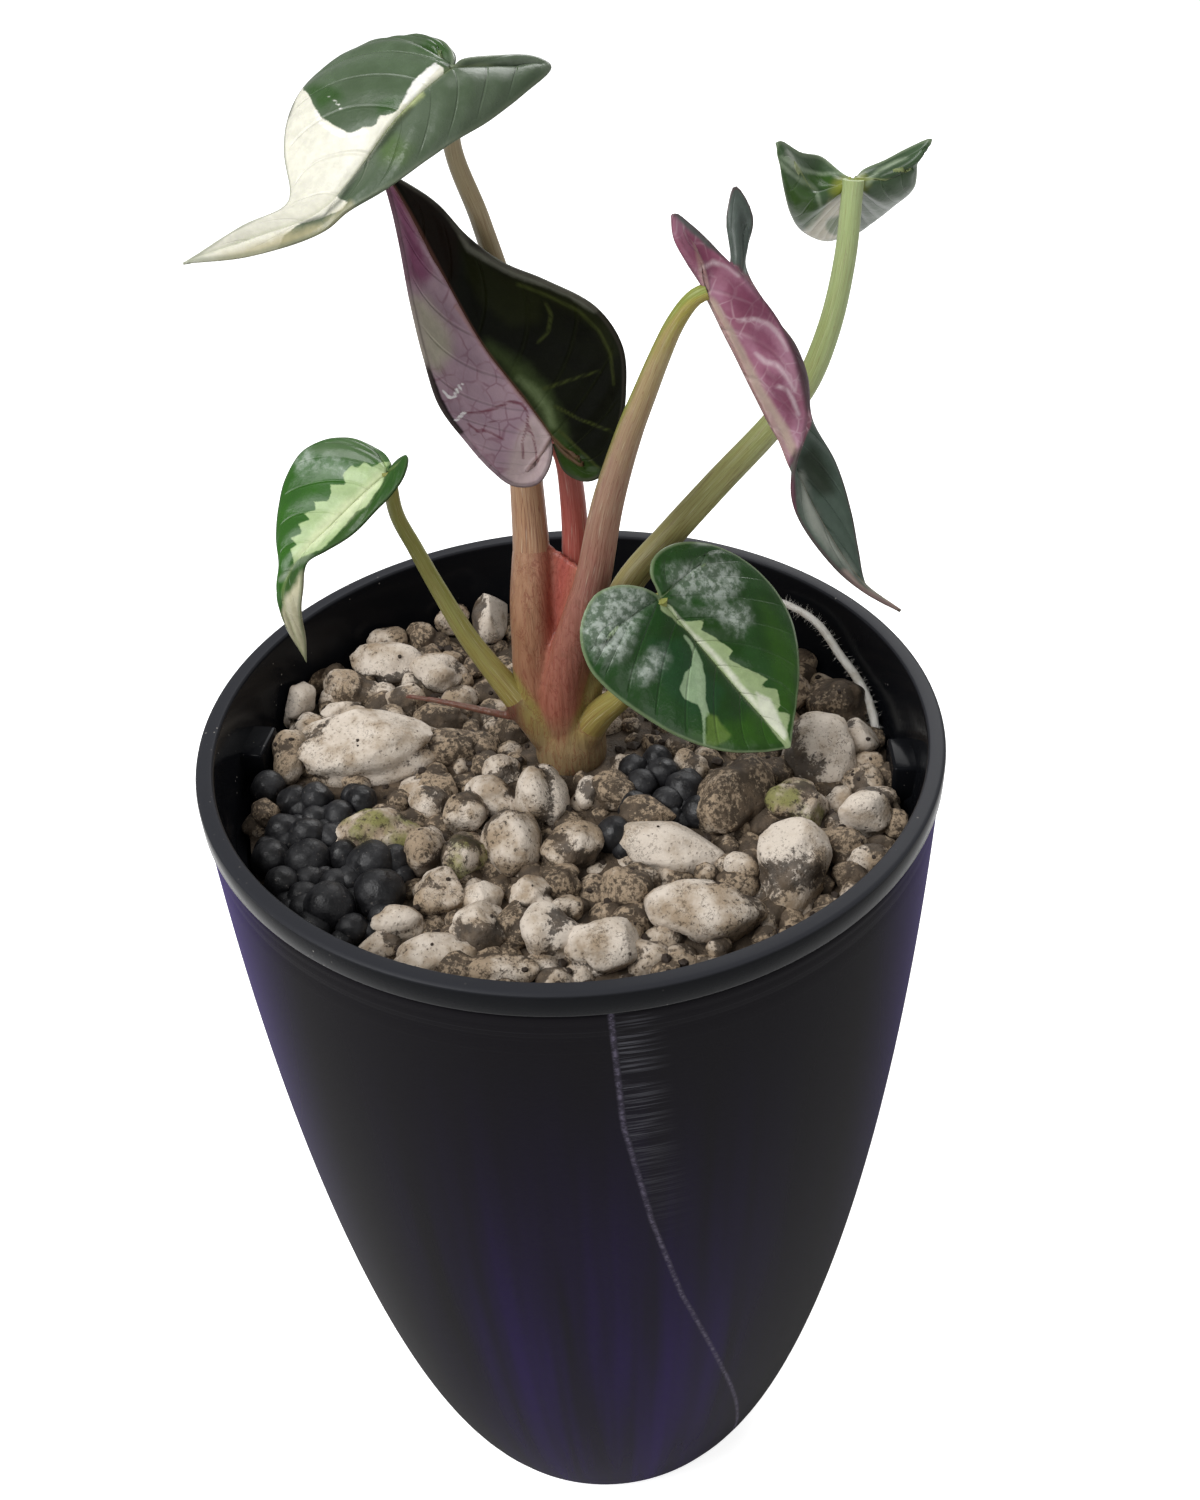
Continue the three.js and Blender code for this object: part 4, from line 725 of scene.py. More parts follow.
def face_outward(obj):
    """Turn a closed mesh right side out."""
    solid = bmesh.new()
    solid.from_mesh(obj.data)
    if solid.calc_volume(signed=True) < 0:
        bmesh.ops.reverse_faces(solid, faces=solid.faces)
        solid.to_mesh(obj.data)
    solid.free()


def smooth(obj, degrees=None):
    pick(obj)
    if degrees is None:
        bpy.ops.object.shade_smooth()
    else:
        bpy.ops.object.shade_smooth_by_angle(angle=math.radians(degrees))


def apply_modifier(obj, kind, **settings):
    """Add a modifier, set it and apply it."""
    pick(obj)
    modifier = obj.modifiers.new(kind.lower(), kind)
    for key, value in settings.items():
        setattr(modifier, key, value)
    bpy.ops.object.modifier_apply(modifier=modifier.name)


def settle(obj):
    """Put the object's place, turn and scale into its mesh."""
    pick(obj)
    bpy.ops.object.transform_apply(location=True, rotation=True, scale=True)


def coordinates(obj):
    co = np.empty(len(obj.data.vertices) * 3, np.float32)
    obj.data.vertices.foreach_get("co", co)
    return co.reshape(-1, 3).astype(float)


def place_vertices(obj, co):
    obj.data.vertices.foreach_set("co", np.asarray(co, np.float32).ravel())
    obj.data.update()


def paint_values(obj, name, values):
    """Store one number per vertex under a name that materials read."""
    layer = obj.data.attributes.get(name) or obj.data.attributes.new(name, "FLOAT", "POINT")
    layer.data.foreach_set("value", np.asarray(values, np.float32).ravel())


def paint_vectors(obj, name, values):
    layer = obj.data.attributes.get(name) or obj.data.attributes.new(name, "FLOAT_VECTOR", "POINT")
    layer.data.foreach_set("vector", np.asarray(values, np.float32).ravel())


def paint_colours(obj, name, values):
    layer = obj.data.color_attributes.get(name)
    layer = layer or obj.data.color_attributes.new(name, "FLOAT_COLOR", "POINT")
    full = np.concatenate([values, np.ones((len(values), 1))], axis=1)
    layer.data.foreach_set("color", full.astype(np.float32).ravel())


def grid_of_points(points):
    """Add a grid and lay its vertices on rows of points in millimetres."""
    rows, columns = points.shape[:2]
    deselect()
    bpy.ops.mesh.primitive_grid_add(x_subdivisions=columns - 1, y_subdivisions=rows - 1, size=2)
    obj = bpy.context.active_object
    flat = coordinates(obj)
    column = np.rint((flat[:, 0] + 1) / 2 * (columns - 1)).astype(int)
    row = np.rint((flat[:, 1] + 1) / 2 * (rows - 1)).astype(int)
    place_vertices(obj, points[row, column] * MM)
    return obj, row, column


def finish_piece(obj, node, materials):
    """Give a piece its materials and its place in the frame."""
    settle(obj)
    obj.data.materials.clear()
    for item in materials:
        obj.data.materials.append(item)
    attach(obj, "root")
    if node:
        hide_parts(node)


# Materials


class Finish:
    """A node material with short calls for the nodes it needs."""

    def __init__(self, name, **sockets):
        self.material = bpy.data.materials.new(name)
        self.material.use_nodes = True
        self.tree = self.material.node_tree
        self.shader = self.tree.nodes["Principled BSDF"]
        self.chart = None
        for key, value in sockets.items():
            self.shader.inputs[key.replace("_", " ")].default_value = value

    def node(self, kind, inputs=None, **settings):
        node = self.tree.nodes.new(kind)
        for key, value in settings.items():
            setattr(node, key, value)
        for key, value in (inputs or {}).items():
            self.feed(node.inputs[key], value)
        return node

    def feed(self, socket, value):
        if isinstance(value, bpy.types.NodeSocket):
            self.tree.links.new(value, socket)
        elif socket.type == "RGBA" and len(value) == 3:
            socket.default_value = (*value, 1)
        else:
            socket.default_value = value

    def place(self):
        if self.chart is None:
            self.chart = self.node("ShaderNodeTexCoord").outputs["Object"]
        return self.chart

    def stretched(self, vector, scale):
        return self.node("ShaderNodeMapping", {"Vector": vector, "Scale": scale}).outputs[0]

    def value(self, name):
        return self.node("ShaderNodeAttribute", attribute_name=name).outputs["Fac"]

    def vector(self, name):
        return self.node("ShaderNodeAttribute", attribute_name=name).outputs["Vector"]

    def colour(self, name):
        return self.node("ShaderNodeAttribute", attribute_name=name).outputs["Color"]

    def noise(self, scale, detail=3.0, vector=None, rough=0.55, twist=0.0):
        inputs = {"Vector": vector or self.place(), "Scale": scale, "Detail": detail}
        inputs.update({"Roughness": rough, "Distortion": twist})
        return self.node("ShaderNodeTexNoise", inputs).outputs["Fac"]

    def cells(self, scale, feature="F1", vector=None, spread=1.0, output="Distance"):
        inputs = {"Vector": vector or self.place(), "Scale": scale, "Randomness": spread}
        return self.node("ShaderNodeTexVoronoi", inputs, feature=feature).outputs[output]

    def math(self, operation, a, b=0.0, c=0.0, clamp=False):
        node = self.node("ShaderNodeMath", operation=operation, use_clamp=clamp)
        for socket, value in zip(node.inputs, (a, b, c)):
            self.feed(socket, value)
        return node.outputs[0]

    def times(self, a, b):
        return self.math("MULTIPLY", a, b)

    def plus(self, a, b):
        return self.math("ADD", a, b)

    def from_middle(self, value):
        """How far a value lies from one half, either way."""
        return self.math("ABSOLUTE", self.math("SUBTRACT", value, 0.5))

    def lay(self, tint, share, strength, colour):
        """Lay a colour over the tint, by a share times a strength."""
        return self.blend(self.times(share, strength), tint, colour)

    def ease(self, value, low, high, to_low=0.0, to_high=1.0):
        """Map a value smoothly from low and high to two other values."""
        inputs = {"Value": value, "From Min": low, "From Max": high}
        inputs.update({"To Min": to_low, "To Max": to_high})
        return self.node("ShaderNodeMapRange", inputs, interpolation_type="SMOOTHSTEP").outputs[0]

    def blend(self, share, a, b, mode="MIX"):
        node = self.node("ShaderNodeMix", data_type="RGBA", blend_type=mode)
        self.feed(node.inputs[0], share)
        self.feed(node.inputs[6], a)
        self.feed(node.inputs[7], b)
        return node.outputs[2]

    def ramp(self, value, stops):
        node = self.node("ShaderNodeValToRGB", {"Fac": value})
        line = node.color_ramp
        while len(line.elements) < len(stops):
            line.elements.new(0.5)
        for element, (at, colour) in zip(line.elements, stops):
            element.position = at
            element.color = (*colour, 1)
        return node.outputs["Color"]

    def bump(self, height, strength, depth, under=None):
        inputs = {"Height": height, "Strength": strength, "Distance": depth}
        if under is not None:
            inputs["Normal"] = under
        return self.node("ShaderNodeBump", inputs).outputs[0]

    def set(self, **sockets):
        for key, value in sockets.items():
            self.feed(self.shader.inputs[key.replace("_", " ")], value)
        return self.material


# Colours of dirt, wear and fine lines, as linear values; the scratch colour is also a painted highlight
# and the rim face colour a painted highlight on the liner's rim top

SCAR = (0.16, 0.14, 0.2)
SCRATCH_AND_HIGHLIGHT = (0.1, 0.1, 0.115)
RING = (0.09, 0.09, 0.1)
RIM_TOP_HIGHLIGHT = (0.028, 0.029, 0.034)
DUST_SPECK = (0.35, 0.33, 0.3)
ALGAE = (0.2, 0.2, 0.06)
GRIME = (0.075, 0.052, 0.034)
STONE_SPECK = (0.035, 0.024, 0.016)
CRACK = (0.04, 0.028, 0.018)
PIT = (0.18, 0.13, 0.09)
CLAY_CLOUD = (0.018, 0.018, 0.02)
CLAY_DUST = (0.2, 0.18, 0.16)
DAMP_SOIL = (0.05, 0.035, 0.025)
STALK_LINE = (0.7, 0.6, 0.5)
STALK_PALE = (0.8, 0.78, 0.6)
SHEATH_LINE = (0.6, 0.48, 0.4)
SHEATH_VEIN = (0.16, 0.02, 0.015)
SHEATH_STAIN = (0.11, 0.05, 0.02)

# How far red, green and blue light travels inside stalks and blades, as shares

STALK_DEPTHS = (1.0, 0.5, 0.25)
BLADE_DEPTHS = (0.8, 1.0, 0.4)


def cover_material(settings):
    """Dark silky printed plastic with layer lines and a seam scar; violet and amber reflections are
    painted into its colour.
    """
    look = Finish("cover_plastic_silk", Specular_IOR_Level=0.0, Coat_Weight=0.14, Coat_Roughness=0.22)
    split = look.node("ShaderNodeSeparateXYZ", {"Vector": look.place()})
    x, y, z = split.outputs[0], split.outputs[1], split.outputs[2]
    layer = look.times(z, 1 / (settings.layer_height * MM))
    wave = look.math("SINE", look.times(layer, math.tau))
    sheets = look.node("ShaderNodeCombineXYZ", {"Z": layer}).outputs[0]
    per_layer = look.noise(0.9, 2.0, sheets, 0.8)
    scuffs = look.noise(1.0, 3.0, look.stretched(look.place(), (60, 60, 2600)), 0.7)
    round_angle = look.math("ARCTAN2", x, look.times(y, -1))
    around_and_up = {"X": look.times(round_angle, 9.0), "Z": look.times(z, 9.0)}
    columns = look.node("ShaderNodeCombineXYZ", around_and_up).outputs[0]
    drape = look.noise(1.0, 2.0, columns, 0.5)
    turned = look.math("PINGPONG", look.math("ABSOLUTE", round_angle), math.pi / 2)
    # Painted reflections, placed by the angle from the front: a violet glow low on the front, violet at
    # the upper sides and amber at the lower sides
    low_front_reflection = look.times(look.ease(turned, 0.8, 0.1), look.ease(z, 0.15, 0.06))
    glow = look.times(low_front_reflection, look.ease(drape, 0.2, 0.8))
    upper_side_reflection = look.times(look.ease(turned, 0.75, 1.5), look.ease(z, 0.05, 0.15))
    tint = look.blend(glow, settings.body_colour, settings.violet_reflection)
    tint = look.blend(upper_side_reflection, tint, settings.bright_violet_reflection)
    amber_reflection = look.times(look.ease(turned, 0.85, 1.4), look.ease(z, 0.09, 0.03))
    tint = look.lay(tint, amber_reflection, 0.8, settings.amber_reflection)
    scar = look.value("seam")
    ridge = look.ease(look.math("ABSOLUTE", scar), 0.55, 0.05)
    crumbs = look.noise(1.0, 3.0, look.stretched(look.place(), (900, 900, 1500)), 0.7)
    ridge_height = look.times(ridge, look.ease(crumbs, 0.38, 0.62, 0.25, 1.0))
    tint = look.lay(tint, ridge_height, 0.6, SCAR)
    # Right of the seam near the top: lighter scratches, part wear and part painted highlight
    beside = look.times(look.ease(scar, 0.1, 0.6), look.ease(scar, 7.0, 0.8))
    beside = look.times(beside, look.ease(z, 0.1, 0.142))
    scratches_and_highlight = look.times(beside, look.ease(scuffs, 0.46, 0.62))
    tint = look.lay(tint, scratches_and_highlight, 0.6, SCRATCH_AND_HIGHLIGHT)
    rings = look.times(look.ease(z, 0.141, 0.149), look.ease(per_layer, 0.55, 0.7))
    tint = look.lay(tint, rings, 0.5, RING)
    relief = look.bump(wave, 0.2, 0.00004)
    relief = look.bump(per_layer, 0.3, 0.0001, relief)
    relief = look.bump(scuffs, 0.2, 0.00006, relief)
    relief = look.bump(ridge_height, 0.9, 0.0004, relief)
    rough = look.ease(look.plus(scuffs, look.times(per_layer, 0.4)), 0.4, 0.95, 0.28, 0.5)
    return look.set(Base_Color=tint, Roughness=rough, Normal=relief)


def liner_material(settings):
    """Black moulded plastic with smears and dust specks, duller on the rim's top, which carries a lighter
    grey painted highlight.
    """
    look = Finish("liner_plastic_black", Specular_IOR_Level=0.07)
    z = look.node("ShaderNodeSeparateXYZ", {"Vector": look.place()}).outputs[2]
    specks = look.times(look.ease(look.cells(900), 0.16, 0.05), look.ease(look.noise(160, 3), 0.56, 0.66))
    smear = look.ease(look.noise(45, 4, look.stretched(look.place(), (1, 1, 0.5))), 0.5, 0.8)
    top_face = look.ease(z, (RIM_TOP - 0.5) * MM, (RIM_TOP - 0.1) * MM)
    tint = look.lay(settings.liner_colour, smear, 0.35, settings.dust_colour)
    # The rim's top face is painted lighter grey: a painted highlight of the light from above
    tint = look.lay(tint, top_face, 0.9, RIM_TOP_HIGHLIGHT)
    tint = look.lay(tint, specks, 0.6, DUST_SPECK)
    relief = look.bump(look.noise(1400, 2), 0.12, 0.0001)
    rough = look.plus(look.ease(smear, 0, 1, 0.16, 0.34), look.times(top_face, 0.2))
    return look.set(Base_Color=tint, Roughness=rough, Normal=relief)


def pumice_material(settings):
    """Porous off-white stone, stained tan and flecked with dark dirt."""
    look = Finish("pumice_stone", Specular_IOR_Level=0.25)
    dirt = look.value("dirt")
    cloud = look.noise(210, 4, rough=0.6)
    stain = look.ease(look.plus(cloud, look.times(dirt, 0.32)), 0.5, 0.8)
    tint = look.blend(stain, settings.pumice_clean, settings.pumice_stained)
    tint = look.lay(tint, look.ease(look.noise(260, 3), 0.4, 0.62), look.value("green"), ALGAE)
    flecks = look.noise(1500, 5, rough=0.72)
    crust = look.noise(420, 4, rough=0.65)
    bias = look.plus(look.times(dirt, 0.17), look.times(look.value("hollow"), 0.34))
    spot = look.plus(look.plus(look.times(flecks, 0.7), look.times(crust, 0.3)), bias)
    soil = look.ease(spot, 0.63, 0.72)
    grime = look.blend(look.ease(look.noise(600, 3), 0.4, 0.7), settings.soil_colour, GRIME)
    tint = look.lay(tint, soil, 0.85, grime)
    specks = look.ease(look.noise(2400, 3, rough=0.75), 0.62, 0.68)
    tint = look.lay(tint, specks, 0.75, STONE_SPECK)
    cracks = look.from_middle(look.noise(330, 5, rough=0.7))
    cracks = look.times(look.ease(cracks, 0.012, 0.0), look.ease(look.noise(150, 2), 0.45, 0.6))
    tint = look.lay(tint, cracks, 0.8, CRACK)
    pores = look.cells(1300, vector=look.stretched(look.place(), (1, 1, 0.8)))
    pits = look.ease(pores, 0.28, 0.12)
    tint = look.lay(tint, pits, 0.28, PIT)
    relief = look.bump(look.noise(700, 5, rough=0.7), 0.6, 0.0006)
    relief = look.bump(look.math("SUBTRACT", 1.0, pits), 0.5, 0.0003, relief)
    relief = look.bump(soil, 0.35, 0.0002, relief)
    return look.set(Base_Color=tint, Roughness=look.ease(soil, 0, 1, 0.82, 0.7), Normal=relief)


def clay_material(settings):
    """Fired black clay pellets with a dull sheen and pale dust."""
    look = Finish("black_clay", Specular_IOR_Level=0.32)
    cloud = look.noise(380, 4, rough=0.6)
    tint = look.blend(look.ease(cloud, 0.35, 0.7), settings.clay_colour, CLAY_CLOUD)
    dust = look.ease(look.noise(1700, 4, rough=0.7), 0.62, 0.72)
    tint = look.lay(tint, dust, 0.5, CLAY_DUST)
    relief = look.bump(look.noise(800, 4, rough=0.6), 0.4, 0.0005)
    relief = look.bump(look.noise(230, 2), 0.5, 0.001, relief)
    return look.set(Base_Color=tint, Roughness=look.ease(cloud, 0.3, 0.7, 0.34, 0.6), Normal=relief)


def soil_material(settings):
    """Dark damp crumbs."""
    look = Finish("soil_crumbs", Specular_IOR_Level=0.3)
    tint = look.blend(look.noise(900, 3), settings.soil_colour, DAMP_SOIL)
    rough = look.ease(look.noise(500, 2), 0.3, 0.7, 0.6, 0.9)
    relief = look.bump(look.noise(1800, 3), 0.5, 0.0004)
    return look.set(Base_Color=tint, Roughness=rough, Normal=relief)


def petiole_material(name, stops, streak, streak_share, green_share):
    """Fleshy stalk: colour along its length, fine lengthwise lines and streaks."""
    look = Finish(name, Specular_IOR_Level=0.35, Subsurface_Weight=0.05, Subsurface_Scale=0.001)
    look.shader.inputs["Subsurface Radius"].default_value = STALK_DEPTHS
    along = look.value("along")
    strands = look.vector("strands")
    lines = look.noise(1.0, 4.0, look.stretched(strands, (9, 9, 1.2)), 0.6)
    broad = look.noise(1.0, 3.0, look.stretched(strands, (2.2, 2.2, 4)), 0.5)
    wander = look.plus(along, look.times(look.math("SUBTRACT", broad, 0.5), 0.22))
    tint = look.ramp(wander, stops)
    upper = look.ease(look.value("topside"), 0.1, 0.75)
    tint = look.lay(tint, upper, look.ease(along, 0.25, 0.7, 0.0, green_share), linear("7f8a3c"))
    tint = look.blend(look.ease(lines, 0.35, 0.75, 0.0, 0.4), tint, STALK_LINE, "MULTIPLY")
    thread = look.noise(1.0, 2.0, look.stretched(strands, (8, 8, 0.7)), 0.5)
    threads = look.ease(look.from_middle(thread), 0.04, 0.0)
    tint = look.lay(tint, threads, look.ease(along, 0.8, 0.2, 0.4, 0.8), streak)
    dashes = look.noise(1.0, 3.0, look.stretched(strands, (7, 7, 9)), 0.7)
    tint = look.lay(tint, look.ease(dashes, 0.6, 0.7), streak_share, streak)
    pale = look.ease(look.noise(1.0, 2.0, look.stretched(strands, (14, 14, 2)), 0.6), 0.58, 0.72)
    tint = look.lay(tint, pale, 0.25, STALK_PALE)
    relief = look.bump(lines, 0.22, 0.0003)
    relief = look.bump(look.noise(1600, 2), 0.12, 0.0002, relief)
    return look.set(Base_Color=tint, Roughness=look.ease(lines, 0.3, 0.7, 0.32, 0.48), Normal=relief)


def stem_base_material():
    """Sheathed stem base, its colours painted per sheath."""
    look = Finish("stem_base_sheaths", Specular_IOR_Level=0.4, Subsurface_Weight=0.08,
                  Subsurface_Scale=0.001)
    look.shader.inputs["Subsurface Radius"].default_value = STALK_DEPTHS
    tint = look.colour("sheath")
    lines = look.noise(1.0, 4.0, look.stretched(look.place(), (1500, 1500, 130)), 0.65)
    tint = look.blend(look.ease(lines, 0.35, 0.7, 0.0, 0.5), tint, SHEATH_LINE, "MULTIPLY")
    veins = look.noise(1.0, 3.0, look.stretched(look.place(), (700, 700, 240)), 0.6, 1.2)
    tint = look.lay(tint, look.ease(look.from_middle(veins), 0.035, 0.0), 0.45, SHEATH_VEIN)
    stain = look.ease(look.noise(260, 4), 0.55, 0.75)
    tint = look.lay(tint, stain, 0.35, SHEATH_STAIN)
    relief = look.bump(lines, 0.5, 0.0005)
    return look.set(Base_Color=tint, Roughness=look.ease(stain, 0, 1, 0.34, 0.5), Normal=relief)


def root_material():
    """Pale root skin with stains."""
    look = Finish("white_root_skin", Specular_IOR_Level=0.3)
    cloud = look.ease(look.noise(420, 4), 0.45, 0.7)
    tint = look.lay(linear("e4e1da"), cloud, 0.5, linear("a79a86"))
    rough = look.ease(cloud, 0, 1, 0.7, 0.85)
    relief = look.bump(look.noise(1500, 4), 0.5, 0.0003)
    return look.set(Base_Color=tint, Roughness=rough, Normal=relief)


def floor_material(settings):
    """Matte pale floor, brightened for the camera alone."""
    look = Finish("pale_floor", Roughness=0.9, Specular_IOR_Level=0.1)
    colour = settings.floor_colour
    tint = look.blend(look.noise(3, 2), colour, [c * 0.99 for c in colour])
    seen = look.node("ShaderNodeLightPath").outputs["Is Camera Ray"]
    glow = look.times(seen, 0.75)
    return look.set(Base_Color=tint, Emission_Color=(1, 1, 1), Emission_Strength=glow)


# Leaves: grid rows and columns, lateral veins, and sizes in millimetres

LOBE_ROWS = 22
BLADE_ROWS = 84
BLADE_COLUMNS = 34
LATERALS = 7.0
LATERAL_SWEEP = 0.2
BLADE_THICKNESS = 0.68
EDGE_SHARE = 0.3
QUILT_HEIGHT = 0.15
RIB_GROOVE = 0.3
RIB_GROOVE_WIDTH = 0.55
WELD = 0.02


def half_grid(leaf, half, side):
    """Lay out one half of a blade, with its vein chart."""
    margin = [leaf["midrib"][0], *half["sinus"], *half["lobe"], *half["side"], leaf["midrib"][-1]]
    spans = len(margin) - 1
    lobe_end = (len(half["sinus"]) + half["tip"]) / spans
    shoulder = (len(half["sinus"]) + len(half["lobe"]) + half["shoulder"]) / spans
    vein = [leaf["midrib"][0], *half["vein"]]
    out = np.linspace(0, 1, LOBE_ROWS + 1)
    back = out[1:]
    down = np.linspace(0, 1, BLADE_ROWS + 1)[1:]
    inner = np.vstack([
        smooth_curve(vein, out),
        smooth_curve(vein, 1 - back),
        smooth_curve(leaf["midrib"], down),
    ])
    outer = np.vstack([
        smooth_curve(margin, out * lobe_end),
        smooth_curve(margin, lobe_end + back * (shoulder - lobe_end)),
        smooth_curve(margin, shoulder + down * (1 - shoulder)),
    ])
    across = np.linspace(0, 1, BLADE_COLUMNS + 1)
    width = np.linalg.norm(outer - inner, axis=1)
    share = (width / width.max())[:, None, None]
    lift = (4 * across * (1 - across))[None, :, None] * share * np.array(half["bulge"])
    grid = inner[:, None] * (1 - across)[None, :, None] + outer[:, None] * across[None, :, None]
    grid = grid + lift
    rank = np.concatenate([1.8 * out - 4.2, 2.4 * back - 2.4, LATERALS * down])
    sweep = LATERALS * LATERAL_SWEEP * across ** 1.25
    phase = rank[:, None] - sweep[None, :]
    from_rib = width[:, None] * across[None, :]
    to_edge = width[:, None] * (1 - across)[None, :]
    turn_side = np.gradient(grid, axis=1)
    turn_down = np.gradient(grid, axis=0)
    normal = np.cross(turn_side, turn_down)
    normal /= np.maximum(np.linalg.norm(normal, axis=2, keepdims=True), 1e-9)
    normal *= 1 if side < 0 else -1
    quilt = 0.5 - 0.5 * np.cos(math.tau * phase)
    height = QUILT_HEIGHT * (quilt - 0.5) * np.minimum(from_rib / 2.0, 1) * np.minimum(to_edge / 1.5, 1)
    groove = np.exp(-((from_rib / RIB_GROOVE_WIDTH) ** 2))
    height -= RIB_GROOVE * groove * np.minimum(width[:, None] / 4, 1)
    return {
        "grid": grid + normal * height[..., None],
        "phase": phase,
        "rib": side * from_rib,
        "edge": to_edge,
    }


def leaf_mesh(name, leaf, marks):
    """Model one blade from two grids, thickened."""
    halves = []
    for key, side in (("left", -1), ("right", 1)):
        chart = half_grid(leaf, leaf[key], side)
        obj, row, column = grid_of_points(chart["grid"])
        if side > 0:
            edit_all(obj)
            bpy.ops.mesh.flip_normals()
            leave_edit()
        for field in ("phase", "rib", "edge"):
            paint_values(obj, field, chart[field][row, column])
        for mark, depth in mark_depths(chart["grid"][row, column], marks, key).items():
            paint_values(obj, "mark_" + mark, depth)
        halves.append(obj)
    blade = join(halves, name)
    merge_doubles(blade, WELD * MM)
    group = blade.vertex_groups.new(name="flesh")
    edge = np.empty(len(blade.data.vertices), np.float32)
    blade.data.attributes["edge"].data.foreach_get("value", edge)
    for i, gap in enumerate(edge):
        group.add([i], float(min(1.0, 0.45 + gap * 0.45)), "REPLACE")
    for _ in ("top", "under", "edge"):
        blade.data.materials.append(None)
    apply_modifier(blade, "SOLIDIFY", thickness=BLADE_THICKNESS * MM, offset=0, vertex_group="flesh",
                   thickness_vertex_group=EDGE_SHARE, material_offset=1, material_offset_rim=2)
    blade.vertex_groups.clear()
    smooth(blade)
    return blade


def leaf_finish(name, skin):
    """Waxy blade face: ground colour, lateral veins, marks, some of them painted highlights and painted
    shade, and a pebbled skin.
    """
    look = Finish(name, Specular_IOR_Level=skin.get("shine", 0.3), Subsurface_Weight=0.04,
                  Subsurface_Scale=0.0008)
    look.shader.inputs["Subsurface Radius"].default_value = BLADE_DEPTHS
    rib = look.value("rib")
    edge = look.value("edge")
    cloud = look.noise(170, 4, rough=0.6)
    fine = look.noise(900, 3, rough=0.6)
    patches = look.ease(cloud, 0.35, 0.65)
    left, right = (look.blend(patches, linear(a), linear(b)) for a, b in (skin["left"], skin["right"]))
    tint = look.blend(look.ease(rib, -0.05, 0.05), left, right)
    vein_gap = look.math("PINGPONG", look.value("phase"), 0.5)
    near_vein = look.ease(vein_gap, skin.get("vein_width", 0.07), 0.0)
    near_vein = look.times(near_vein, look.ease(edge, 0.3, 2.5))
    tint = look.lay(tint, near_vein, skin["vein_share"], linear(skin["vein"]))
    if "net" in skin:
        tint = add_vein_net(look, tint, rib, *skin["net"])
    torn = look.math("SUBTRACT", look.noise(520, 5, rough=0.7), 0.5)
    speckle = look.noise(900, 4, rough=0.65)
    for mark, code, jag, soft, strength, *mottle in skin["marks"]:
        depth = look.plus(look.value("mark_" + mark), look.times(torn, jag))
        share = look.times(look.ease(depth, -soft, soft), strength)
        if mottle:
            share = look.times(share, look.ease(speckle, 0.4, 0.64, 1 - mottle[0], 1.0))
        colour = linear(code)
        shade = look.blend(look.ease(fine, 0.3, 0.7), colour, [c * 0.86 for c in colour])
        tint = look.blend(share, tint, shade)
    midline = look.ease(look.math("ABSOLUTE", rib), 0.5, 0.12)
    tint = look.lay(tint, midline, skin.get("rib_share", 0.4), linear(skin["rib"]))
    tint = look.lay(tint, look.ease(edge, 0.55, 0.15), 0.5, linear(skin["margin"]))
    pebbles = look.noise(skin.get("pebble", 1500), 3, rough=0.6)
    relief = look.bump(look.math("SUBTRACT", 1.0, near_vein), 0.4, 0.0003)
    relief = look.bump(pebbles, skin.get("pebble_share", 0.16), 0.0003, relief)
    relief = look.bump(look.noise(240, 2), 0.12, 0.001, relief)
    rough = look.ease(cloud, 0.3, 0.7, skin["gloss"], skin["gloss"] + 0.12)
    return look.set(Base_Color=tint, Roughness=rough, Normal=relief)


def add_vein_net(look, tint, rib, scale, code, strength, half):
    """Lay a net of fine veins over a blade: -1 for its left half alone, 1 for both."""
    wobble = look.node("ShaderNodeTexNoise", {"Vector": look.place(), "Scale": 300.0, "Detail": 2.0})
    reach = {"Vector": wobble.outputs["Color"], "Scale": 0.0012}
    shift = look.node("ShaderNodeVectorMath", reach, operation="SCALE").outputs[0]
    warped = look.node("ShaderNodeVectorMath", {0: look.place(), 1: shift}, operation="ADD").outputs[0]
    gap = look.cells(scale, "DISTANCE_TO_EDGE", warped)
    lines = look.times(look.ease(gap, 0.09, 0.0), look.ease(look.noise(260, 3), 0.35, 0.6))
    if half < 0:
        lines = look.times(lines, look.ease(rib, 0.0, -0.5))
    return look.lay(tint, lines, strength, linear(code))


# Looks of each blade's two faces. Colours are hex codes, and the left and right
# halves mix two each. A mark has its colour, how jagged and how soft its edge
# is in millimetres, its strength and, for some, a share of mottling.

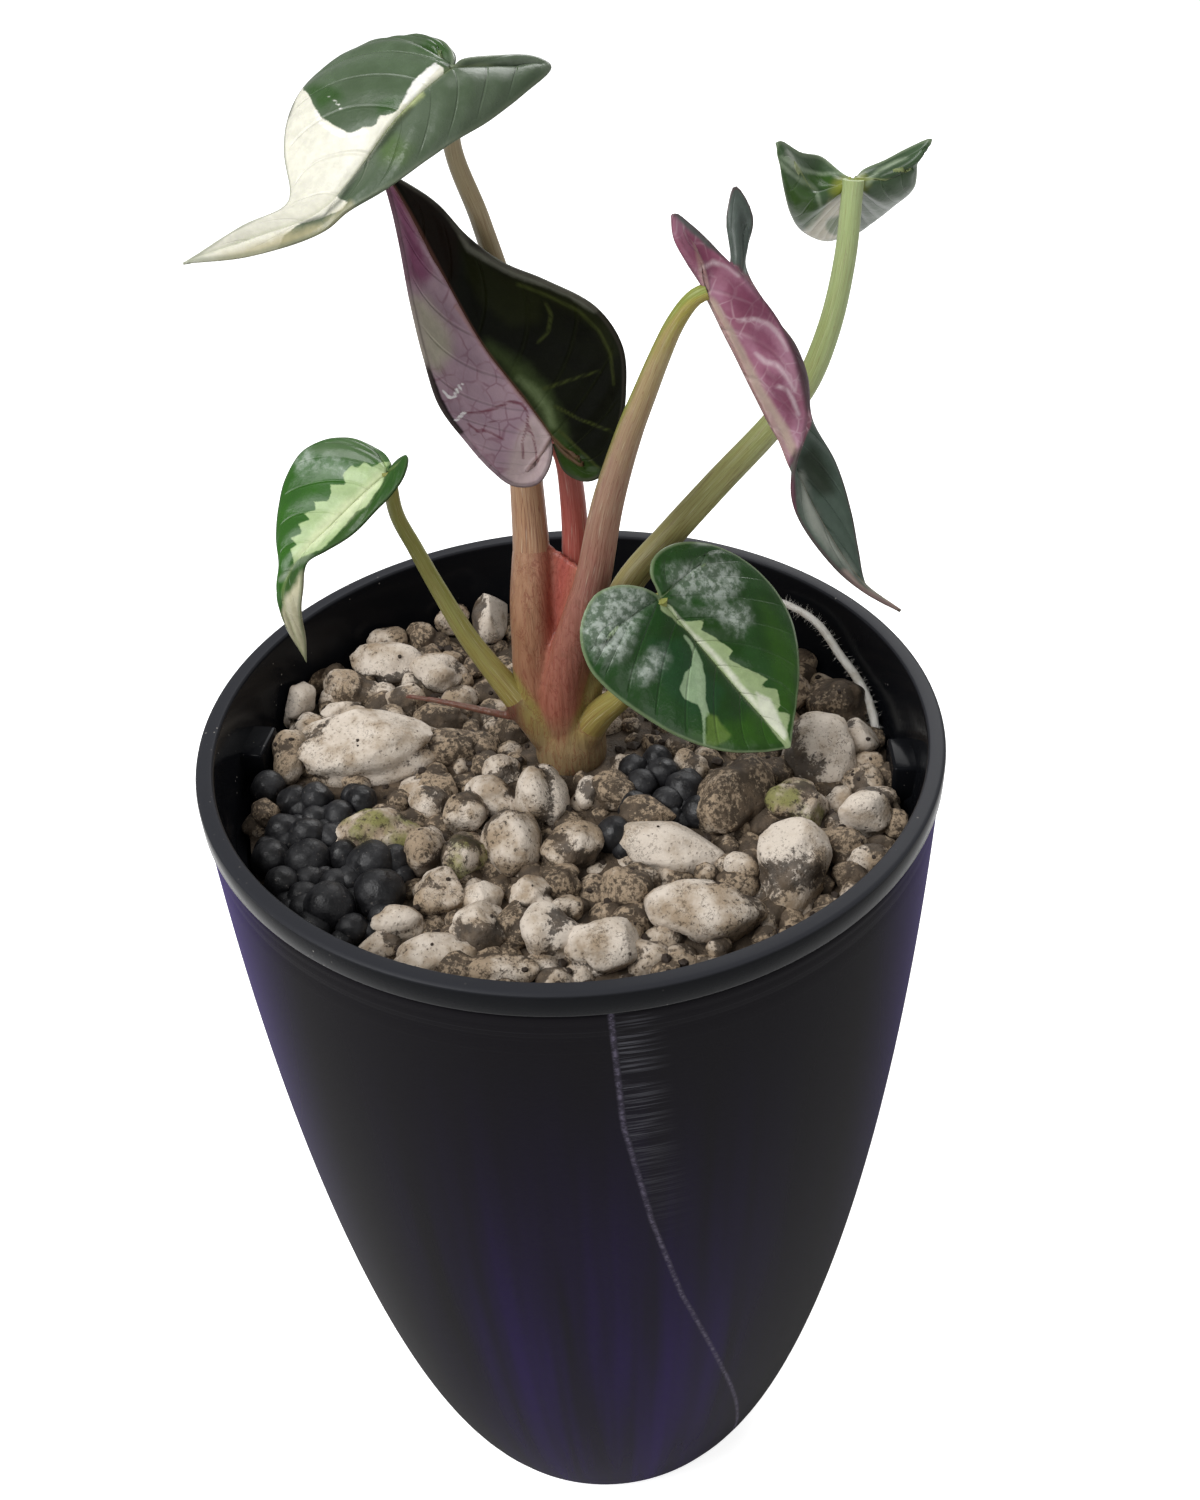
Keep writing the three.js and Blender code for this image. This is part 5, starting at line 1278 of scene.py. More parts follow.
LEAF_LOOKS = {
    "leaf_upper_left": {
        "top": {
            # The grey-green ground of both halves holds the leaf's green and a painted grey reflection;
            # the crease marks are painted shade, the silver marks painted sheen and two of the three
            # streak strokes painted highlights
            "left": ("4f6048", "405138"), "right": ("525f4c", "46553f"),
            "vein": "76866a", "vein_share": 0.05, "rib": "8f9a6c", "rib_share": 0.25, "margin": "6e7763",
            "marks": [
                ("deep", "2d4d1c", 1.0, 0.5, 0.9), ("green", "4c6334", 1.2, 1.0, 0.8),
                ("painted_silver_sheen", "8b9387", 1.5, 0.8, 0.5, 0.5), ("cream", "dcdacb", 0.7, 0.1, 1.0),
                ("streak", "e9e8e2", 0.6, 0.12, 1.0), ("lime", "a3ad74", 0.5, 0.3, 0.85),
                ("crease_shade", "2c3826", 0.5, 0.3, 0.85), ("tan", "b3ab86", 0.8, 0.5, 0.8)],
            "gloss": 0.24,
        },
        "under": {
            "left": ("97a07f", "8a946f"), "right": ("7a8a66", "6c7f58"),
            "vein": "9aa27c", "vein_share": 0.3, "rib": "b9b48a", "margin": "8a8f7c",
            "marks": [("cream", "c9c5ab", 0.7, 0.2, 1.0)],
            "gloss": 0.4,
        },
    },
    "leaf_centre": {
        "top": {
            # The right half's near-black ground is its dark green with painted shade laid in; the rim mark
            # is a painted reflection and the glint marks painted highlights
            "left": ("ad949f", "9f8794"), "right": ("070903", "0d1006"),
            "vein": "262c14", "vein_share": 0.15, "rib": "6b463c", "rib_share": 0.5, "margin": "3a3530",
            "marks": [
                ("magenta", "84476a", 1.2, 1.0, 0.85), ("cream", "bdb9a4", 1.2, 1.2, 0.85),
                ("pale", "bcaaa9", 0.8, 0.8, 0.8), ("vein", "74404d", 0.25, 0.14, 0.85),
                ("ridge", "a57f78", 0.4, 0.4, 0.8), ("dark", "150c0e", 0.3, 0.15, 0.95),
                ("glint", "f2eef0", 0.25, 0.08, 0.95), ("brown", "140a05", 1.0, 1.0, 0.8),
                ("moss", "191d09", 0.8, 0.8, 0.9), ("glow", "3a4726", 1.5, 1.2, 0.85),
                ("core", "6c7b56", 1.0, 0.7, 0.7), ("lobe_green", "263a10", 1.0, 0.8, 0.9),
                ("olive", "39401c", 0.2, 0.2, 0.8), ("rim", "6b6c60", 0.4, 0.3, 0.8)],
            "gloss": 0.34, "net": (430.0, "77495c", 0.5, -1), "shine": 0.07,
        },
        "under": {
            "left": ("9a7480", "8d6572"), "right": ("4b4230", "403f26"),
            "vein": "8a6a62", "vein_share": 0.4, "rib": "a06a5a", "margin": "4a3a38",
            "marks": [],
            "gloss": 0.42,
        },
    },
    "leaf_hanging_right": {
        "top": {
            "left": ("8d5268", "a5768a"), "right": ("875062", "7a4c58"),
            "vein": "c8a7b0", "vein_share": 0.3, "rib": "b9a98e", "rib_share": 0.3, "margin": "4f333a",
            "marks": [
                ("deep_rose", "74324e", 1.6, 0.7, 0.75), ("pale", "cfb8be", 0.5, 0.3, 0.85),
                ("bone", "b9a595", 0.5, 0.4, 0.85), ("dark", "381d27", 0.4, 0.4, 0.9),
                ("fold", "4c5a54", 0.5, 0.3, 0.9), ("ear", "45534c", 0.4, 0.3, 0.95),
                ("lower", "435247", 0.2, 0.15, 1.0), ("shade", "16240f", 0.8, 0.8, 0.9),
                ("glint", "b4b7ac", 0.8, 0.7, 0.8, 0.2), ("tan", "9d8980", 0.4, 0.3, 0.9)],
            "gloss": 0.36, "vein_width": 0.1, "net": (520.0, "cfb3bb", 0.35, 1),
        },
        "under": {
            "left": ("43524a", "37463b"), "right": ("41504a", "354439"),
            "vein": "7d8a7d", "vein_share": 0.2, "rib": "7c8a76", "rib_share": 0.3, "margin": "6a6258",
            "marks": [
                ("lower", "8d5268", 0.2, 0.15, 1.0), ("tan", "9d8980", 0.4, 0.3, 0.9)],
            "gloss": 0.3,
        },
    },
    "leaf_upper_right": {
        "top": {
            "left": ("3f5638", "344a2b"), "right": ("3a4f34", "31442b"),
            "vein": "7c9070", "vein_share": 0.15, "rib": "a4ac70", "rib_share": 0.4, "margin": "7d8a70",
            "marks": [
                ("green", "41602a", 1.2, 0.8, 0.8), ("bright", "2f5408", 0.6, 0.4, 0.9),
                ("yellow", "7d8424", 0.8, 0.7, 0.85), ("cream", "bfb7a0", 0.7, 0.4, 0.95),
                ("olive", "4f6320", 0.5, 0.3, 0.95), ("glint", "b4b9ac", 0.4, 0.3, 0.9),
                ("pale", "93a288", 0.4, 0.3, 0.75)],
            "gloss": 0.28,
        },
        "under": {
            "left": ("56694a", "485e38"), "right": ("42553a", "394d2f"),
            "vein": "8a9c7c", "vein_share": 0.15, "rib": "a3ab70", "margin": "7d8a70",
            "marks": [
                ("green", "41602a", 1.2, 0.8, 0.8), ("bright", "315a08", 0.6, 0.4, 0.9),
                ("yellow", "868c2c", 0.8, 0.7, 0.85), ("cream", "bfb7a0", 0.7, 0.4, 0.95),
                ("olive", "4f6320", 0.5, 0.3, 0.95), ("pale", "93a288", 0.4, 0.3, 0.75)],
            "gloss": 0.4,
        },
    },
    "leaf_left": {
        "top": {
            "left": ("2b5a12", "23500c"), "right": ("2f4f1b", "274714"),
            "vein": "4f7c2c", "vein_share": 0.1, "rib": "8fa066", "rib_share": 0.3, "margin": "35502a",
            "marks": [
                # The silver mark is a painted sheen
                ("grey", "4f6744", 1.2, 0.7, 0.8), ("painted_silver_sheen", "a3b0a2", 2.2, 0.9, 0.8, 0.7),
                ("core", "a3b985", 0.6, 0.1, 0.95), ("white", "dbe2bd", 1.2, 0.8, 0.9),
                ("deep", "244c14", 0.5, 0.3, 0.85), ("cream", "bfba9c", 0.7, 0.4, 0.95),
                ("fold", "73826a", 0.4, 0.3, 0.8)],
            "gloss": 0.26,
        },
        "under": {
            "left": ("4f7038", "44652c"), "right": ("5a7440", "4c6a34"),
            "vein": "86985c", "vein_share": 0.3, "rib": "a3ab70", "margin": "3c5a2a",
            "marks": [
                ("cream", "c3bea2", 0.7, 0.4, 0.95), ("fold", "76856c", 0.4, 0.3, 0.8)],
            "gloss": 0.4,
        },
    },
    "leaf_front": {
        "top": {
            "left": ("20431b", "193a0e"), "right": ("24481c", "1b3d0d"),
            "vein": "3d6830", "vein_share": 0.08, "rib": "9fb182", "rib_share": 0.35, "margin": "8d9e78",
            "marks": [
                ("deep", "1f4526", 1.2, 0.8, 0.7), ("bright", "30590e", 1.6, 1.2, 0.7),
                ("sheen", "c6d0c6", 2.2, 1.3, 0.8, 0.8), ("streak", "9db07f", 0.6, 0.1, 0.95),
                ("white", "dcdfcb", 0.7, 0.3, 0.9), ("second", "93ab86", 0.5, 0.12, 0.95),
                ("patch", "5f7b34", 0.8, 0.3, 0.85)],
            "gloss": 0.22, "pebble_share": 0.3, "pebble": 900,
        },
        "under": {
            "left": ("4f6a40", "466034"), "right": ("4f6a40", "466034"),
            "vein": "86985c", "vein_share": 0.3, "rib": "a3ab70", "margin": "7d8f5e",
            "marks": [],
            "gloss": 0.4,
        },
    },
}

# Petioles: colours from base to leaf, streak colour, share of streaks, share
# of green on the upper side

PETIOLE_LOOKS = {
    "petiole_upper_left": (
        [(0.0, "8e5c48"), (0.2, "a37a5e"), (0.42, "a58467"), (0.6, "9e8c6c"), (1.0, "93896a")],
        "6b3a2c", 0.3, 0.2),
    "petiole_centre": (
        [(0.0, "9a5a4a"), (0.3, "ab5f54"), (0.7, "a8584f"), (1.0, "a4605a")],
        "742824", 0.5, 0.0),
    "petiole_hanging_right": (
        [(0.0, "985a48"), (0.35, "9c6c60"), (0.62, "9c806a"), (0.85, "a09066"), (1.0, "97913e")],
        "6b2f2a", 0.4, 1.0),
    "petiole_upper_right": (
        [(0.0, "8c7a4c"), (0.2, "9f9662"), (0.5, "a0a068"), (0.75, "9eac76"), (1.0, "a4b682")],
        "75603c", 0.35, 0.3),
    "petiole_left": (
        [(0.0, "8f7b46"), (0.25, "94894c"), (0.6, "908f52"), (1.0, "878a48")],
        "7a5f34", 0.3, 0.5),
    "petiole_front": (
        [(0.0, "8a7440"), (0.4, "8f8648"), (1.0, "949a52")],
        "7a5a34", 0.35, 0.4),
}

# Share of each petiole that its sheath wraps

SHEATHS = {
    "petiole_upper_left": 0.34,
    "petiole_centre": 0.58,
    "petiole_hanging_right": 0.38,
    "petiole_upper_right": 0.17,
    "petiole_left": 0.26,
    "petiole_front": 0.24,
}

# Rows along and steps around each stalk, sheath, strand of tissue and root

STALK_ROWS = 110
STALK_AROUND = 30
SHEATH_ROWS = 30
SHEATH_AROUND = 24
WEB_AROUND = 16
DRY_ROOT_ROWS = 60
DRY_ROOT_AROUND = 10
WHITE_ROOT_ROWS = 120
WHITE_ROOT_AROUND = 12

# Share of its line at which a stalk starts, and millimetres per unit of its streaks

STALK_START = 0.04
STRAND_LENGTH = 10

# Tissue that joins the reddish stalks: places across it and radii along it

WEB_STEPS = (0.15, 0.27, 0.38, 0.5, 0.62, 0.73, 0.85)
WEB_RADII = [2.3, 2.1, 1.8, 1.3, 0.5]


def tube_mesh(name, points, radii, rows, around, flare=None, start=0.0, stop=1.0):
    """Model a tapered stalk: a grid rolled round a smooth curve, closed at its ends."""
    shares = np.linspace(start, stop, rows + 1)
    centres = even_curve(points, shares)
    ahead = np.gradient(centres, axis=0)
    ahead /= np.linalg.norm(ahead, axis=1, keepdims=True)
    radius = smooth_curve([(r, i, 0) for i, r in enumerate(radii)], shares)[:, 0]
    if flare is not None:
        radius = radius + flare(np.linspace(0, 1, rows + 1))
    side = np.cross(ahead[0], (0, 1, 0))
    sides = []
    for direction in ahead:
        side = side - direction * (side @ direction)
        side = side / np.linalg.norm(side)
        sides.append(side)
    sides = np.array(sides)
    others = np.cross(ahead, sides)
    angle = np.linspace(0, math.tau, around + 1)
    ring = sides[:, None] * np.cos(angle)[None, :, None]
    ring = ring + others[:, None] * np.sin(angle)[None, :, None]
    obj, row, column = grid_of_points(centres[:, None] + ring * radius[:, None, None])
    paint_values(obj, "along", shares[row])
    length = float(np.linalg.norm(np.diff(centres, axis=0), axis=1).sum())
    around = angle[column]
    rise = shares[row] * length / STRAND_LENGTH
    strands = np.stack([np.cos(around), np.sin(around), rise], axis=1)
    paint_vectors(obj, "strands", strands)
    paint_values(obj, "topside", 2.0 * ring[row, column, 2])
    merge_doubles(obj, 1e-6)
    edit_all(obj)
    bpy.ops.mesh.select_all(action="DESELECT")
    bpy.ops.mesh.select_mode(type="VERT")
    bpy.ops.mesh.select_non_manifold()
    bpy.ops.mesh.fill_holes(sides=0)
    leave_edit()
    face_outward(obj)
    obj.name = name
    obj.data.name = name
    return obj


# Settings a user would change


def colour_setting(name, description, colour):
    return FloatVectorProperty(name=name, description=description, subtype="COLOR", default=colour)


class AlocasiaPotSettings(bpy.types.PropertyGroup):
    layer_height: FloatProperty(
        name="Layer height", description="Height of one printed layer, in millimetres",
        default=0.42, min=0.05)
    body_colour: colour_setting("Body", "Cover pot's dark body", linear("110f13"))
    # The violet, bright violet and amber colours are painted reflections on the cover pot
    violet_reflection: colour_setting("Violet", "Violet cast low on the front", linear("211143"))
    bright_violet_reflection: colour_setting("Bright violet", "Violet cast at the upper sides", linear("3d2676"))
    amber_reflection: colour_setting("Amber", "Brown cast at the lower sides", linear("33200f"))
    liner_colour: colour_setting("Liner", "Liner pot's black", linear("101114"))
    dust_colour: colour_setting("Dust", "Dust and wear on the liner", linear("222226"))


class AlocasiaBedSettings(bpy.types.PropertyGroup):
    pumice_clean: colour_setting("Clean pumice", "Freshly broken pumice", linear("cdc2b5"))
    pumice_stained: colour_setting("Stained pumice", "Pumice stained by soil", linear("9a8872"))
    soil_colour: colour_setting("Soil", "Dirt in the pores and gaps", linear("1f1712"))
    clay_colour: colour_setting("Clay", "Black clay pellets", linear("131315"))
    seed: IntProperty(name="Seed", description="Picks another scatter of crumbs", default=11, min=0)


class AlocasiaStudioSettings(bpy.types.PropertyGroup):
    floor_colour: colour_setting("Floor", "Colour of the floor", (0.86, 0.86, 0.86))
    key_power: FloatProperty(
        name="Key light", description="Power of the key light", default=6.4, unit="POWER")
    world_strength: FloatProperty(
        name="World", description="Strength of the even light", default=0.36, min=0)


class ALOCASIA_OT_cover_pot(bpy.types.Operator):
    """Model the cover pot"""

    bl_idname = "alocasia.cover_pot"
    bl_label = "Cover pot"

    def execute(self, context):
        settings = context.scene.alocasia_pots
        obj = spun_profile("cover_pot_shell", cover_profile(), COVER_STEPS)
        co = coordinates(obj)
        azimuth = np.degrees(np.arctan2(co[:, 1], co[:, 0]))
        heights = [z * MM for _, z in reversed(SEAM)]
        turns = [a for a, _ in reversed(SEAM)]
        gap = (azimuth - np.interp(co[:, 2], heights, turns) + 180) % 360 - 180
        paint_values(obj, "seam", np.radians(gap) * np.hypot(co[:, 0], co[:, 1]) / MM)
        smooth(obj, 40)
        finish_piece(obj, "cover_pot", [cover_material(settings)])
        return {"FINISHED"}


def cover_profile():
    """Radius and height round the cover pot's wall, in millimetres."""
    def radius(z):
        depth = 1 - z / COVER_HEIGHT
        share = (1 - depth**COVER_BELLY) ** (1 / COVER_ROUNDNESS)
        return COVER_FOOT_RADIUS + (COVER_TOP_RADIUS - COVER_FOOT_RADIUS) * share

    levels = [0, 0.15, 0.5, 1.2, 2.4, 4, 6.5, *np.linspace(10, 144, 46), 146.2, 146.5, 146.9, 147.2,
              148.4, 148.7, 149.0, 149.3]
    outside = [(radius(z) - (COVER_GROOVE if z in COVER_GROOVES else 0), z) for z in levels]
    top = radius(COVER_HEIGHT)
    lip = [(top - 0.05, 149.9), (top - 0.25, COVER_HEIGHT), (top - 0.95, COVER_HEIGHT),
           (top - 1.15, 150.0)]
    inside = [(radius(z) - COVER_WALL, z) for z in (148, 140, 124, 98, 74, 52, 34, 20, 10, 5)]
    floor = [(radius(COVER_FLOOR) - 1.4, COVER_FLOOR), (0, COVER_FLOOR)]
    return [(0, 0), *outside, *lip, *inside, *floor]


def liner_profile():
    """Radius and height round the liner pot's wall, in millimetres."""
    step = LINER_STEP_Z - 2
    share = (step - LINER_FOOT_Z) / (LINER_STEP_Z - LINER_FOOT_Z)
    wall = LINER_FOOT_RADIUS + (LINER_STEP_RADIUS - LINER_FOOT_RADIUS) * share
    mouth, rim, inner, foot, base = (
        LINER_MOUTH_RADIUS, RIM_RADIUS, RIM_INNER_RADIUS, LINER_FOOT_RADIUS, LINER_FOOT_Z)
    outside = [
        (0, base), (foot - 1.5, base), (foot - 0.5, base + 0.4), (foot, base + 1.5), (wall, step),
        (mouth - 0.75, LINER_STEP_Z - 0.3), (mouth - 0.58, LINER_STEP_Z + 0.3), (mouth, RIM_BASE),
    ]
    lip = [
        (rim - 0.5, RIM_BASE), (rim - 0.15, RIM_BASE + 0.15), (rim, RIM_BASE + 0.5),
        (rim, RIM_TOP - 0.55), (rim - 0.12, RIM_TOP - 0.22), (rim - 0.4, RIM_TOP - 0.04),
        (rim - 0.7, RIM_TOP), (inner + 0.6, RIM_TOP), (inner + 0.3, RIM_TOP - 0.06),
        (inner + 0.08, RIM_TOP - 0.3), (inner, RIM_TOP - 0.7),
    ]
    inside = [
        (mouth - 0.9, RIM_BASE), (mouth - 1.45, LINER_STEP_Z + 0.7), (mouth - 1.6, LINER_STEP_Z + 0.3),
        (wall - 0.7, LINER_STEP_Z - 0.4), (wall - 0.9, step + 1.0),
        (foot - 0.9, base + 2.4), (foot - 1.4, base + 1.6), (foot - 2.4, base + 1.4), (0, base + 1.4),
    ]
    return outside + lip + inside


def spun_profile(name, profile, steps):
    """Spin a profile into a closed round shell."""
    mesh = bpy.data.meshes.new(name)
    points = [(r * MM, 0, z * MM) for r, z in profile]
    mesh.from_pydata(points, [(i, i + 1) for i in range(len(points) - 1)], [])
    obj = bpy.data.objects.new(name, mesh)
    bpy.context.scene.collection.objects.link(obj)
    edit_all(obj)
    bpy.ops.mesh.spin(steps=steps, angle=math.tau, center=(0, 0, 0), axis=(0, 0, 1))
    bpy.ops.mesh.select_all(action="SELECT")
    bpy.ops.mesh.remove_doubles(threshold=2e-6)
    bpy.ops.mesh.normals_make_consistent(inside=False)
    leave_edit()
    face_outward(obj)
    return obj


class ALOCASIA_OT_liner_pot(bpy.types.Operator):
    """Model the liner pot with its rim, step, lugs and drain holes"""

    bl_idname = "alocasia.liner_pot"
    bl_label = "Liner pot"

    def execute(self, context):
        shell = spun_profile("liner_pot_shell", liner_profile(), LINER_STEPS)
        deselect()
        cutters = []
        for i in range(DRAIN_RING_COUNT + 1):
            angle = i * math.tau / DRAIN_RING_COUNT
            reach = DRAIN_REACH if i < DRAIN_RING_COUNT else 0
            place = Vector((reach * math.cos(angle), reach * math.sin(angle), LINER_FOOT_Z + 0.7))
            bpy.ops.mesh.primitive_cylinder_add(
                vertices=32, radius=DRAIN_RADIUS * MM, depth=DRAIN_CUT * MM, location=place * MM)
            cutters.append(bpy.context.active_object)
        cutter = join(cutters, "drain_cutter")
        settle(cutter)
        apply_modifier(shell, "BOOLEAN", operation="DIFFERENCE", object=cutter, solver="EXACT")
        bpy.data.objects.remove(cutter)
        parts = [shell]
        for degrees in LUG_AZIMUTHS:
            deselect()
            angle = math.radians(degrees)
            reach = LINER_MOUTH_RADIUS - LUG_INSET
            place = Vector((reach * math.cos(angle), reach * math.sin(angle), LUG_Z))
            bpy.ops.mesh.primitive_cube_add(
                size=1, location=place * MM, rotation=(0, 0, angle), scale=Vector(LUG_SIZE) * MM)
            lug = bpy.context.active_object
            settle(lug)
            apply_modifier(lug, "BEVEL", width=LUG_ROUNDING * MM, segments=3)
            parts.append(lug)
        obj = join(parts, "liner_pot_shell")
        smooth(obj, 35)
        finish_piece(obj, "liner_pot", [liner_material(context.scene.alocasia_pots)])
        return {"FINISHED"}


def master_lumps(count, detail, seed, knobs=5, spread=0.42, cuts=4, grit=0.05):
    """Model a few stones of unit size, each a cluster of knobs with broken faces."""
    draw = random.Random(seed)
    shapes = []
    for _ in range(count):
        deselect()
        bpy.ops.mesh.primitive_ico_sphere_add(subdivisions=detail, radius=1)
        obj = bpy.context.active_object
        ways = coordinates(obj)
        ways /= np.linalg.norm(ways, axis=1, keepdims=True)
        reach = np.full(len(ways), 0.62)
        for _ in range(knobs):
            centre = unit_vector(draw) * draw.uniform(0.6, 1.0) * spread
            radius = draw.uniform(0.5, 0.7)
            ahead = ways @ centre
            knob = np.sqrt(np.maximum(radius**2 - centre @ centre + ahead**2, 0))
            reach = np.maximum(reach, ahead + knob)
        mean = reach.mean()
        hollow = np.clip((mean - reach) / mean * 3.0, 0, 1)
        for size, strength in ((5, grit), (11, grit * 0.5), (19, grit * 0.25)):
            for _ in range(4):
                wave = ways @ (unit_vector(draw) * size) + draw.uniform(0, math.tau)
                reach += strength * 0.5 * np.sin(wave)
        co = ways * reach[:, None]
        for _ in range(cuts):
            way = unit_vector(draw)
            over = np.maximum(co @ way - draw.uniform(0.6, 0.8), 0)
            co -= over[:, None] * way * 0.85
        low, high = co.min(axis=0), co.max(axis=0)
        place_vertices(obj, (co - (low + high) / 2) / ((high - low) / 2))
        paint_values(obj, "hollow", hollow)
        shapes.append(obj)
    return shapes


def unit_vector(draw):
    way = np.array([draw.gauss(0, 1) for _ in range(3)])
    return way / np.linalg.norm(way)


def copy_of(master):
    obj = master.copy()
    obj.data = master.data.copy()
    bpy.context.scene.collection.objects.link(obj)
    return obj


def free_spots():
    """Spots for the small lumps that fill the gaps among the placed ones."""
    draw = random.Random(FILL_SEED)
    pellets = (*PELLETS_LEFT, *PELLETS_MIDDLE)
    spots = []
    for i in range(FILL_SPOTS):
        angle = i * GOLDEN_ANGLE
        reach = FILL_REACH * math.sqrt((i + 0.5) / FILL_SPOTS)
        x = reach * math.cos(angle) + draw.uniform(-0.8, 0.8)
        y = reach * math.sin(angle) + draw.uniform(-0.8, 0.8)
        size = draw.uniform(1.5, 3.3)
        lift = draw.uniform(-0.6, 1.4)
        clear_of_lumps = all(math.hypot(x - a, y - b) > 0.6 * half for a, b, half, *_ in LUMPS)
        clear_of_clay = all(math.hypot(x - a, y - b) > r + 1.4 for a, b, r in pellets)
        if clear_of_lumps and clear_of_clay and math.hypot(x - STEM_X, y - STEM_Y) > 6.5:
            spots.append((x, y, size, lift, draw.uniform(0, 360), draw.choice(FILL_TONES)))
    return spots


# Dirt and green of each tone, and the dirt of the bed under the lumps, whose dark soil colour is also
# painted shade in the gaps between them

TONES = {"w": (0.32, 0.0), "t": (0.62, 0.0), "d": (1.05, 0.0), "g": (0.6, 0.9)}
BED_SOIL_AND_SHADE = 2.4


class ALOCASIA_OT_pumice(bpy.types.Operator):
    """Model the bed of pumice lumps"""

    bl_idname = "alocasia.pumice"
    bl_label = "Pumice"

    def execute(self, context):
        settings = context.scene.alocasia_bed
        draw = random.Random(settings.seed + 5)
        large = master_lumps(10, 4, 3)
        small = master_lumps(8, 3, 8, cuts=5)
        pieces = []
        for x, y, half, height, heading, tone in LUMPS:
            master = large[draw.randrange(len(large))]
            centre = (x, y, BED_TOP_Z + 1.2 + height * 0.28)
            radii = (half * 1.1, height * 1.16, height * 1.02)
            pieces.append(self.lump(master, centre, radii, heading, tone, draw))
        for x, y, size, lift, heading, tone in free_spots():
            master = small[draw.randrange(len(small))]
            centre = (x, y, BED_TOP_Z + lift)
            radii = (size, size * 0.9, size * 0.8)
            pieces.append(self.lump(master, centre, radii, heading, tone, draw))
        bed = spun_profile("bed", BED_PROFILE, BED_STEPS)
        # The bed shows only in the gaps between lumps, painted dark as soil and as painted shade there
        for field, value in (("dirt", BED_SOIL_AND_SHADE), ("green", 0), ("hollow", 1)):
            paint_values(bed, field, np.full(len(bed.data.vertices), value))
        obj = join([bed, *pieces], "pumice_bed")
        for master in (*large, *small):
            bpy.data.objects.remove(master)
        smooth(obj, 60)
        finish_piece(obj, "pumice", [pumice_material(settings)])
        return {"FINISHED"}

    def lump(self, master, centre, radii, heading, tone, draw):
        obj = copy_of(master)
        co = coordinates(obj)
        roll = Matrix.Rotation(draw.uniform(0, math.tau), 3, "X")
        spin = roll @ Matrix.Rotation(draw.choice((0, math.pi)), 3, "Z")
        co = co @ np.array(spin).T
        co *= np.array(radii)
        co = co @ np.array(Matrix.Rotation(math.radians(heading), 3, "Z")).T
        co += centre
        reach = np.hypot(co[:, 0], co[:, 1])
        squeeze = np.where(reach > BED_REACH, BED_REACH / np.maximum(reach, 1e-6), 1)
        co[:, :2] *= squeeze[:, None]
        place_vertices(obj, co * MM)
        dirt, green = TONES[tone]
        count = len(co)
        dirt += draw.uniform(-0.1, 0.15)
        slope = draw.uniform(-0.25, 0.25)
        lean = (co[:, 0] - centre[0]) / radii[0] * slope
        paint_values(obj, "dirt", np.full(count, dirt) + lean)
        paint_values(obj, "green", np.full(count, green))
        return obj


class ALOCASIA_OT_pellets(bpy.types.Operator):
    """Model the two heaps of black clay pellets"""

    bl_idname = "alocasia.pellets"
    bl_label = "Clay pellets"

    def execute(self, context):
        settings = context.scene.alocasia_bed
        draw = random.Random(settings.seed + 23)
        masters = master_lumps(5, 4, 17, knobs=7, spread=0.16, cuts=1, grit=0.012)
        material = clay_material(settings)
        ground = BED_TOP_Z + 0.3
        for node, pellets in (("pellets_left", PELLETS_LEFT), ("pellets_middle", PELLETS_MIDDLE)):
            pieces = []
            for x, y, radius in pellets:
                centre = (x, y, ground + radius * 0.7)
                pieces.append(self.pellet(masters, centre, radius * 1.03, draw))
                for _ in range(2):
                    angle = draw.uniform(0, math.tau)
                    small = draw.uniform(0.55, 0.8) * radius
                    beside_x = x + math.cos(angle) * radius
                    beside_y = y + math.sin(angle) * radius
                    in_pot = math.hypot(beside_x, beside_y) < 44.5
                    if in_pot and math.hypot(beside_x, beside_y - STEM_Y) > 7:
                        centre = (beside_x, beside_y, ground + small * 0.6)
                        pieces.append(self.pellet(masters, centre, small, draw))
            obj = join(pieces, node + "_heap")
            smooth(obj)
            finish_piece(obj, node, [material])
        for master in masters:
            bpy.data.objects.remove(master)
        return {"FINISHED"}

    def pellet(self, masters, centre, radius, draw):
        obj = copy_of(masters[draw.randrange(len(masters))])
        turn = Matrix.Rotation(draw.uniform(0, math.tau), 3, "X")
        turn = turn @ Matrix.Rotation(draw.uniform(0, math.tau), 3, "Y")
        co = coordinates(obj) @ np.array(turn).T
        place_vertices(obj, (co * radius + centre) * MM)
        return obj


